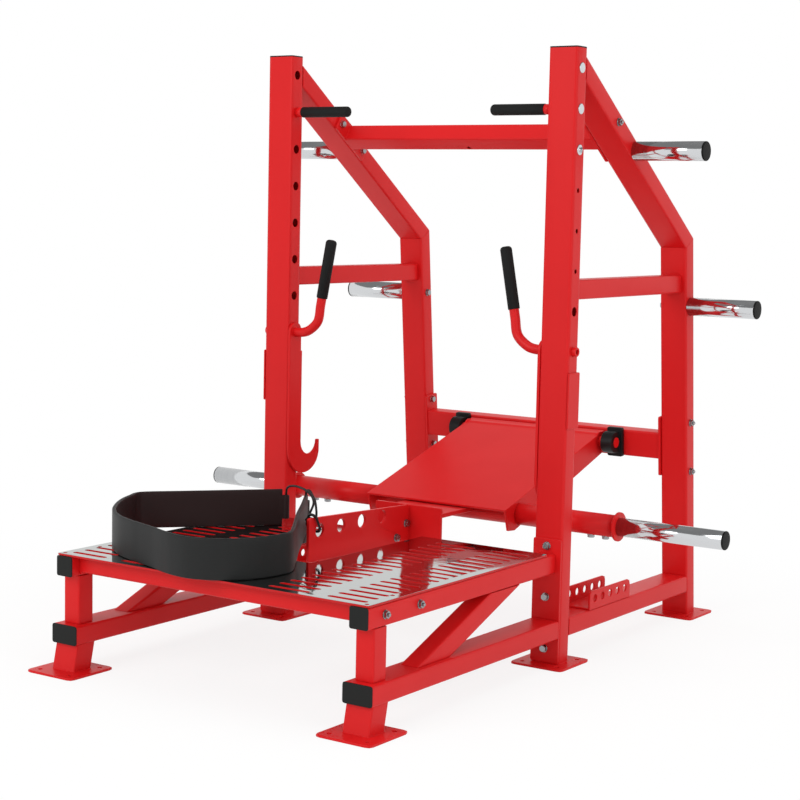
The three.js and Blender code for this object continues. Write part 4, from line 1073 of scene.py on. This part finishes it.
@dataclass
class LeverTubes:
    """The lever's cross tube and collars, and the chrome loading sleeves with their caps."""

    y: float = 0.233
    z: float = 0.335
    tube_start: float = 0.221
    tube_radius: float = 29.15 * MM
    collar_radius: float = 38.15 * MM
    collar_start: float = 0.5205
    collar_end: float = 0.5272
    collar_edge: float = 1.0 * MM
    sleeve_gap: float = 0.1 * MM
    sleeve_radius: float = 24.2 * MM
    sleeve_end: float = 0.822
    cap_gap: float = 0.3 * MM
    cap_bevel: float = 0.5 * MM
    cap_round: float = 2.0 * MM
    cap_end: float = 0.8263

    def build(self) -> None:
        """Builds the round parts of both sides."""
        start, end, radius = self.collar_start, self.collar_end, self.sleeve_radius
        tube = [(self.tube_start, self.tube_radius), (start, self.tube_radius)]
        collar = [
            (start, self.tube_radius),
            (start, self.collar_radius - self.collar_edge),
            (start + self.collar_edge, self.collar_radius),
            *rounded_end(end, self.collar_radius, self.collar_edge, steps=3),
            (end, radius),
        ]
        sleeve = [(end + self.sleeve_gap, radius), (self.sleeve_end, radius)]
        cap = [
            (self.sleeve_end + self.cap_gap, radius - self.cap_bevel),
            (self.sleeve_end + self.cap_gap + self.cap_bevel, radius),
            *rounded_end(self.cap_end, radius, self.cap_round),
        ]
        pairs = [
            (turned(profile, (0.0, self.y, self.z), (1, 0, 0), FINE_RING), name, node, look)
            for profile, name, node, look in (
                (tube, "cross_tube_{}", "", Look.PAINT),
                (collar, "sleeve_collar_{}", "", Look.PAINT),
                (sleeve, "loading_tube_{}", "loading_sleeve_{}", Look.CHROME),
                (cap, "loading_tube_cap_{}", "loading_sleeve_cap_{}", Look.NYLON),
            )
        ]
        build_pairs(pairs, ON_LEVER)


@dataclass
class UprightPlugs:
    """Chrome plugs in the top three holes of each upright's outer face."""

    radius: float = 13.3 * MM
    thick: float = 2.2 * MM
    edge: float = 1.5 * MM
    sunk: float = 0.3 * MM
    rows: tuple = (1.498, 1.398, 1.298)

    def build(self) -> None:
        """Builds the six plugs as one piece."""
        profile = [(-self.sunk, self.radius), *rounded_end(self.thick, self.radius, self.edge, steps=4)]
        plugs = [turned(profile, (SIDE_OUTER, UPRIGHT_Y, z), (1, 0, 0), columns=48) for z in self.rows]
        both = Patch.joined([plug.mirrored(side) for side in Side for plug in plugs])
        both.piece("upright_plugs", Body.FRAME, Look.CHROME)


@dataclass
class UprightTopCaps:
    """Black plastic caps over the open tops of the front uprights."""

    centre_x: float = 0.440
    width: float = 80.4 * MM
    depth: float = 50.4 * MM
    corner: float = 6.0 * MM
    low: float = 1.5470
    high: float = 1.5503
    edge: float = 0.6 * MM
    top_share: float = 0.985

    def build(self) -> None:
        """Builds both caps as one piece: the outline at three heights, a little smaller at the top."""
        outline = strap_section(self.width, self.depth, self.corner)
        share = np.array([1.0, 1.0, self.top_share])[:, None]
        height = np.array([self.low, self.high - self.edge, self.high])[:, None]
        x = outline[:, 0] * share + self.centre_x
        y = outline[:, 1] * share + UPRIGHT_Y
        cap = Patch.tube(np.stack([x, y, np.broadcast_to(height, x.shape)], axis=-1))
        caps = Patch.joined([cap.mirrored(side) for side in Side])
        caps.piece("upright_top_caps", Body.FRAME, Look.PLASTIC, smooth=False)


# Belt set


@dataclass
class Belt:
    """The belt, standing on its edge, with a webbing loop at each end."""

    low: float = 293.6 * MM
    height: float = 97 * MM
    thick: float = 9.6 * MM
    edge: float = 3.4 * MM
    loop_height: float = 63 * MM
    loop_reach: float = 11 * MM
    loop_radius: float = 7.6 * MM
    loop_root: float = 22 * MM
    loop_turn: float = np.radians(140)
    webbing: float = 2.8 * MM
    webbing_edge: float = 1.12 * MM
    route_mm: tuple = (
        (-295, -176), (-380, -275), (-465, -373), (-532, -450), (-540, -482), (-527, -516), (-506, -566),
        (-474, -621), (-434, -676), (-404, -709), (-368, -741), (-322, -771), (-266, -796), (-220, -812),
        (-164, -832), (-112, -853), (-70, -866), (-20, -871), (28, -856), (72, -821), (102, -769),
        (114, -713), (110, -662), (64, -588), (-31, -450), (-110, -328), (-190, -208),
    )

    def route(self) -> Array:
        """The belt's middle line.

        Returns:
            Even points of it, half of the belt's height above its lower edge.
        """
        flat = soft_route(np.array(self.route_mm, dtype=float) * MM, samples=1200, centripetal=False)
        flat = evenly(flat, count=420)
        middle = self.low + self.height / 2
        return np.stack([flat[:, 0], flat[:, 1] + UPRIGHT_Y, np.full(len(flat), middle)], axis=1)

    def loop(self, end: Array, outward: Array) -> Patch:
        """One webbing loop: a flat strip that leaves the belt, goes round the eye and comes back.

        Args:
            end: Point where the belt's middle line ends.
            outward: Direction of the belt there.

        Returns:
            The closed patch. The bend is eye + radius * (cos a * outward + sin a * across).
        """
        across = np.array([-outward[1], outward[0], 0.0])
        eye = end + outward * self.loop_reach
        angle = np.linspace(self.loop_turn, -self.loop_turn, 33)[:, None]
        bend = eye + self.loop_radius * (np.cos(angle) * outward + np.sin(angle) * across)
        root = end - outward * self.loop_root
        side = across * (self.thick / 2 - self.webbing)
        path = evenly(np.vstack([root + side, bend, root - side]), count=60)
        section = strap_section(self.webbing, self.loop_height, self.webbing_edge)
        return swept(path, section, flank=(0, 0, 1))

    def build(self) -> None:
        """Builds the belt and its loops."""
        path = self.route()
        strap = swept(path, strap_section(self.thick, self.height, self.edge), flank=(0, 0, 1))
        near = self.loop(path[0], unit(path[0] - path[3]))
        far = self.loop(path[-1], unit(path[-1] - path[-4]))
        for patch, name in ((strap, "belt_strap"), (Patch.joined([near, far]), "belt_loops")):
            patch.piece(name, Body.LEVER, Look.FABRIC, "belt")


@dataclass
class Rope:
    """The rope from one eye of the belt over to the snap ring and back to the other eye.

    flank is a direction that the rope never runs along.
    """

    radius: float = 3.0 * MM
    flank: tuple = (0.67, 0.74, 0)
    route_mm: tuple = (
        (-287.8, -167.7, 316), (-287.8, -167.7, 345), (-287.6, -167.9, 374), (-282, -173, 391),
        (-262, -188, 402), (-220, -218, 411), (-166, -262, 417), (-108, -312, 420), (-62, -350, 413),
        (-37, -379, 403), (-28, -401, 390), (-25, -417, 375), (-24, -422, 360), (-22.5, -413, 348),
        (-21.5, -399, 349), (-22, -389, 361), (-28, -378, 379), (-43, -360, 391), (-69, -330, 401),
        (-100, -300, 409), (-134, -266, 413), (-164, -236, 408), (-184, -215, 401), (-194, -203, 391),
        (-196, -198.9, 374), (-196, -198.9, 345), (-196, -198.9, 316),
    )

    def build(self, ring: "SnapRing") -> None:
        """Args:
            ring: The snap ring that the hitch is tied round.
        """
        points = np.array(self.route_mm, dtype=float) * MM + [0, UPRIGHT_Y, 0]
        path = evenly(soft_route(points, samples=900, centripetal=True), count=520)
        tube = swept(path, round_section(self.radius, count=16), self.flank)
        rope = tube.piece("rope_loop", Body.LEVER, Look.CORD, "belt_rope")
        hitch = ring.hitch(self.radius).piece("rope_hitch", Body.LEVER, Look.CORD)


@dataclass
class SnapRing:
    """The black snap ring through the first hole of the tongue, and its sprung gate.

    Its plane holds X and the long axis tilt, and the rope is hitched round its left leg. hitch_turns are
    the angles where the hitch starts and ends, in half turns, and hitch_place is its place along the leg
    at the angle hitch_zero.
    """

    wire: float = 3.6 * MM
    gate_radius: float = 3.1 * MM
    gate_round: float = 0.98
    gate_gap: float = 0.5 * MM
    half: float = 13 * MM
    reach: float = 25 * MM
    centre: tuple = (-0.003, -0.42002, 0.36402)
    tilt: tuple = (0.0, -22.0, 45.0)
    hitch_turns: tuple[float, float] = (-0.3, 3.6)
    hitch_place: float = 8.0 * MM
    hitch_pitch: float = 6.2 * MM
    hitch_zero: float = 2.0
    hitch_gap: float = 0.2 * MM

    @property
    def axis(self) -> Array:
        """Direction of the ring's long axis."""
        return unit(np.array(self.tilt))

    @property
    def flank(self) -> Array:
        """Direction square to the ring's plane."""
        return np.cross(self.axis, [1.0, 0, 0])

    def at(self, across: Array, along: Array) -> Array:
        """Points in the ring's own plane.

        Args:
            across: Distances along X.
            along: Distances along its long axis.

        Returns:
            The points in the row frame.
        """
        origin = np.array(self.centre) + [0, UPRIGHT_Y, 0]
        return origin + across[:, None] * np.array([1.0, 0, 0]) + along[:, None] * self.axis

    def hitch(self, rope: float) -> Patch:
        """Turns of the rope round the ring's left leg.

        Args:
            rope: Radius of the rope.

        Returns:
            A closed tube along the helix leg + r * (cos a * side + sin a * flank) + pitch * a.
        """
        first, last = self.hitch_turns
        angle = np.linspace(first * np.pi, last * np.pi, 120)
        along = self.hitch_place - self.hitch_pitch * (angle - self.hitch_zero) / (2 * np.pi)
        leg = self.at(np.full_like(angle, -self.half), along)
        side = np.cos(angle)[:, None] * np.array([-1.0, 0, 0])
        path = leg + (self.wire + rope + self.hitch_gap) * (side + np.sin(angle)[:, None] * self.flank)
        return swept(path, round_section(rope, count=14), tuple(self.axis))

    def build(self) -> None:
        """Builds the ring and its gate.

        The wire is a straight left leg with half a circle, half * (cos a, sin a), at each end. The
        gate is turned and stands in the right leg's place.
        """
        straight = self.reach - self.half
        turn = np.linspace(0, np.pi, 40)
        leg = np.linspace(straight, -straight, 20)[1:-1]
        bow, rise = self.half * np.cos(turn), straight + self.half * np.sin(turn)
        across = np.concatenate([bow, np.full_like(leg, -self.half), -bow])
        along = np.concatenate([rise, leg, -rise])
        body = swept(self.at(across, along), round_section(self.wire, count=20), tuple(self.flank))
        body.piece("snap_ring_wire", Body.LEVER, Look.STEEL, "snap_ring")
        middle = self.at(np.array([self.half]), np.array([0.0]))[0]
        rounding = self.gate_radius * self.gate_round
        ends = rounded_end(straight - self.gate_gap, self.gate_radius, rounding, steps=8)
        profile = [(-distance, radius) for distance, radius in reversed(ends)] + ends
        gate = turned(profile, tuple(middle), tuple(self.axis), columns=24)
        gate.piece("snap_ring_closer", Body.RING_GATE, Look.STEEL, "snap_ring_gate")


# Studio


def stand(thing: bpy.types.Object, axes: tuple[Array, Array, Array], place: tuple) -> None:
    """Puts a camera or a lamp into the scene.

    Args:
        thing: Its object.
        axes: Directions of its own X, Y and Z.
        place: Where it stands.
    """
    pose = np.eye(4)
    pose[:3, :3] = np.stack(axes, axis=1)
    pose[:3, 3] = place
    thing.matrix_world = Matrix(pose.tolist())
    bpy.context.scene.collection.objects.link(thing)


@dataclass
class Studio:
    """Camera, floor and soft light. Angles are in degrees.

    fill is the strength of the surround on surfaces. The floor turns white from floor_fade[0] to
    floor_fade[1] metres out, and is already floor_white of the way at the first. A lamp's entry is its
    name, place, aim, width and power in watts.
    """

    camera_place: tuple = (2.70207, -3.98237, 1.15546)
    yaw: float = 34.2808
    pitch: float = -6.0838
    roll: float = 1.2464
    focal_pixels: float = 1838.06
    frame_pixels: float = 800.0
    sensor: float = 36.0
    fill: float = 0.75
    floor_half: float = 30.0
    floor_colour: str = "#F4F4F3"
    floor_fade: tuple[float, float] = (0.7, 2.0)
    floor_white: float = 0.84
    ceiling_half: float = 5.2
    ceiling_height: float = 3.6
    ceiling_colour: str = "#8A8A8A"
    lamps: tuple = (
        ("front_softbox", (-1.2, -5.0, 3.2), (0, 0, 0.6), 2.6, 84),
        ("right_softbox", (5.2, -1.6, 2.4), (0, 0, 0.6), 2.6, 38),
        ("top_softbox", (0.5, 0.5, 4.5), (0, 0, 0.0), 3.0, 44),
    )

    def camera(self) -> None:
        """Places the camera where the photograph was taken from."""
        yaw, pitch, roll = np.radians([self.yaw, self.pitch, self.roll])
        forward = np.array([-np.sin(yaw) * np.cos(pitch), np.cos(yaw) * np.cos(pitch), np.sin(pitch)])
        right = np.array([np.cos(yaw), np.sin(yaw), 0.0])
        up = np.cross(right, forward)
        lens = bpy.data.cameras.new("camera")
        lens.sensor_width = self.sensor
        lens.sensor_fit = "HORIZONTAL"
        lens.lens = self.focal_pixels / self.frame_pixels * self.sensor
        lens.clip_end = 200.0
        viewer = bpy.data.objects.new("camera", lens)
        rolled = (np.cos(roll) * right + np.sin(roll) * up, -np.sin(roll) * right + np.cos(roll) * up)
        stand(viewer, (*rolled, -forward), self.camera_place)
        bpy.context.scene.camera = viewer

    def sees_white(self, tree: Tree) -> Socket:
        """Tells the rays that show the white background from those that light the object.

        Args:
            tree: Node tree of a material or of the world.

        Returns:
            A value that is 1 for rays from the camera, mirrors and glass, and 0 for the rest.
        """
        rays = add_node(tree, "ShaderNodeLightPath").outputs
        seen = rays["Is Camera Ray"]
        for ray in ("Is Glossy Ray", "Is Transmission Ray"):
            either = add_node(tree, "ShaderNodeMath", {"operation": "MAXIMUM"}, {0: seen, 1: rays[ray]})
            seen = either.outputs["Value"]
        return seen

    def world(self) -> None:
        """A white surround that lights the object evenly."""
        world = bpy.data.worlds.new("white_surround")
        bpy.context.scene.world = world
        world.use_nodes = True
        tree = world.node_tree
        tree.nodes.clear()
        levels = {"To Min": self.fill, "To Max": 1.0}
        strength = add_node(tree, "ShaderNodeMapRange", levels, {"Value": self.sees_white(tree)})
        white = {"Color": (1.0, 1.0, 1.0, 1.0)}
        glow = add_node(tree, "ShaderNodeBackground", white, {"Strength": strength.outputs["Result"]})
        add_node(tree, "ShaderNodeOutputWorld", {}, {"Surface": glow.outputs["Background"]})

    def sheet(
        self, name: str, half: float, height: float, material: Material, unseen: tuple = ()
    ) -> None:
        """A level square sheet that isn't part of the machine.

        Args:
            name: Name of the sheet.
            half: Half of its side.
            height: Height of its face.
            material: Its finish.
            unseen: Names of the visibility settings that are off.
        """
        mesh = bpy.data.meshes.new(name)
        corners = [(x * half, y * half, height) for x, y in ((-1, -1), (1, -1), (1, 1), (-1, 1))]
        mesh.from_pydata(corners, [], [(0, 1, 2, 3)])
        mesh.materials.append(material)
        thing = bpy.data.objects.new(name, mesh)
        for setting in unseen:
            setattr(thing, setting, False)
        bpy.context.scene.collection.objects.link(thing)

    def floor(self) -> None:
        """A pale floor that keeps the object's shadow and turns to plain white further out."""
        material, tree, place = start_material("pale_studio_floor")
        length = {"operation": "LENGTH"}
        far = add_node(tree, "ShaderNodeVectorMath", length, {0: place.outputs["Object"]})
        start, end = self.floor_fade
        levels = {"From Min": start, "From Max": end, "To Min": self.floor_white}
        smooth = {"interpolation_type": "SMOOTHSTEP", **levels}
        fade = add_node(tree, "ShaderNodeMapRange", smooth, {"Value": far.outputs["Value"]})
        factors = {0: fade.outputs["Result"], 1: self.sees_white(tree)}
        amount = add_node(tree, "ShaderNodeMath", {"operation": "MULTIPLY"}, factors)
        card = {"Color": linear(self.floor_colour), "Roughness": 0.5}
        paper = add_node(tree, "ShaderNodeBsdfDiffuse", card)
        white = add_node(tree, "ShaderNodeEmission", {"Color": (1.0, 1.0, 1.0, 1.0), "Strength": 1.0})
        parts = {0: amount.outputs["Value"], 1: paper.outputs["BSDF"], 2: white.outputs["Emission"]}
        mixed = add_node(tree, "ShaderNodeMixShader", {}, parts)
        add_node(tree, "ShaderNodeOutputMaterial", {}, {"Surface": mixed.outputs["Shader"]})
        self.sheet("floor", self.floor_half, 0, material)

    def ceiling(self) -> None:
        """A grey card overhead that only reflections see: it gives the chrome its grey top line."""
        material, tree, _ = start_material("grey_ceiling_card")
        light = {"Color": linear(self.ceiling_colour), "Strength": 1.0}
        grey = add_node(tree, "ShaderNodeEmission", light)
        add_node(tree, "ShaderNodeOutputMaterial", {}, {"Surface": grey.outputs["Emission"]})
        unseen = ("visible_camera", "visible_diffuse", "visible_transmission", "visible_shadow")
        self.sheet("ceiling_card", self.ceiling_half, self.ceiling_height, material, unseen)

    def lamp(self, name: str, place: tuple, aim: tuple, size: float, watts: float) -> None:
        """One soft square lamp.

        Args:
            name: Name of the lamp.
            place: Where it hangs.
            aim: Point that it faces.
            size: Length of its side.
            watts: Its power.
        """
        light = bpy.data.lights.new(name, "AREA")
        light.shape = "SQUARE"
        light.size = size
        light.energy = watts
        back = unit(np.array(place, dtype=float) - np.array(aim, dtype=float))
        right = unit(np.cross([0.0, 0.0, 1.0], back))
        thing = bpy.data.objects.new(name, light)
        thing.visible_camera = False
        stand(thing, (right, np.cross(back, right), back), place)

    def build(self) -> None:
        """Builds the whole studio."""
        self.world()
        self.floor()
        self.ceiling()
        for lamp in self.lamps:
            self.lamp(*lamp)
        bpy.context.scene.view_settings.view_transform = "Standard"


# The solids that new pieces stand for.
PAIRED = (
    "upper_horn", "upper_horn_cap", "lower_horn", "lower_horn_cap", "upper_grip_bar",
    "upper_grip_sleeve", "catch_grip", "loading_sleeve", "loading_sleeve_cap",
)
REPLACED = {"belt", "belt_rope", "snap_ring", "snap_ring_gate"} | {
    f"{stem}_{side.word}" for side in Side for stem in PAIRED
}


def main() -> None:
    """Builds the camera and the rope first, then every other piece, and reports each."""
    logging.basicConfig(level=logging.INFO, format="%(name)s: %(message)s")
    studio, ring = Studio(), SnapRing()
    studio.camera()
    Rope().build(ring)
    CadSurfaces().dress(REPLACED)
    ring.build()
    Belt().build()
    StorageHorns().build()
    UpperGrips().build()
    SafetyCatchHandles().build()
    LeverTubes().build()
    UprightPlugs().build()
    UprightTopCaps().build()
    HexBolts().build("frame_bolts", Body.FRAME, FrameBoltPlaces().places())
    HexBolts().build("lever_bolts", Body.LEVER, LeverBoltPlaces().places())
    studio.build()


if __name__ == "__main__":
    main()
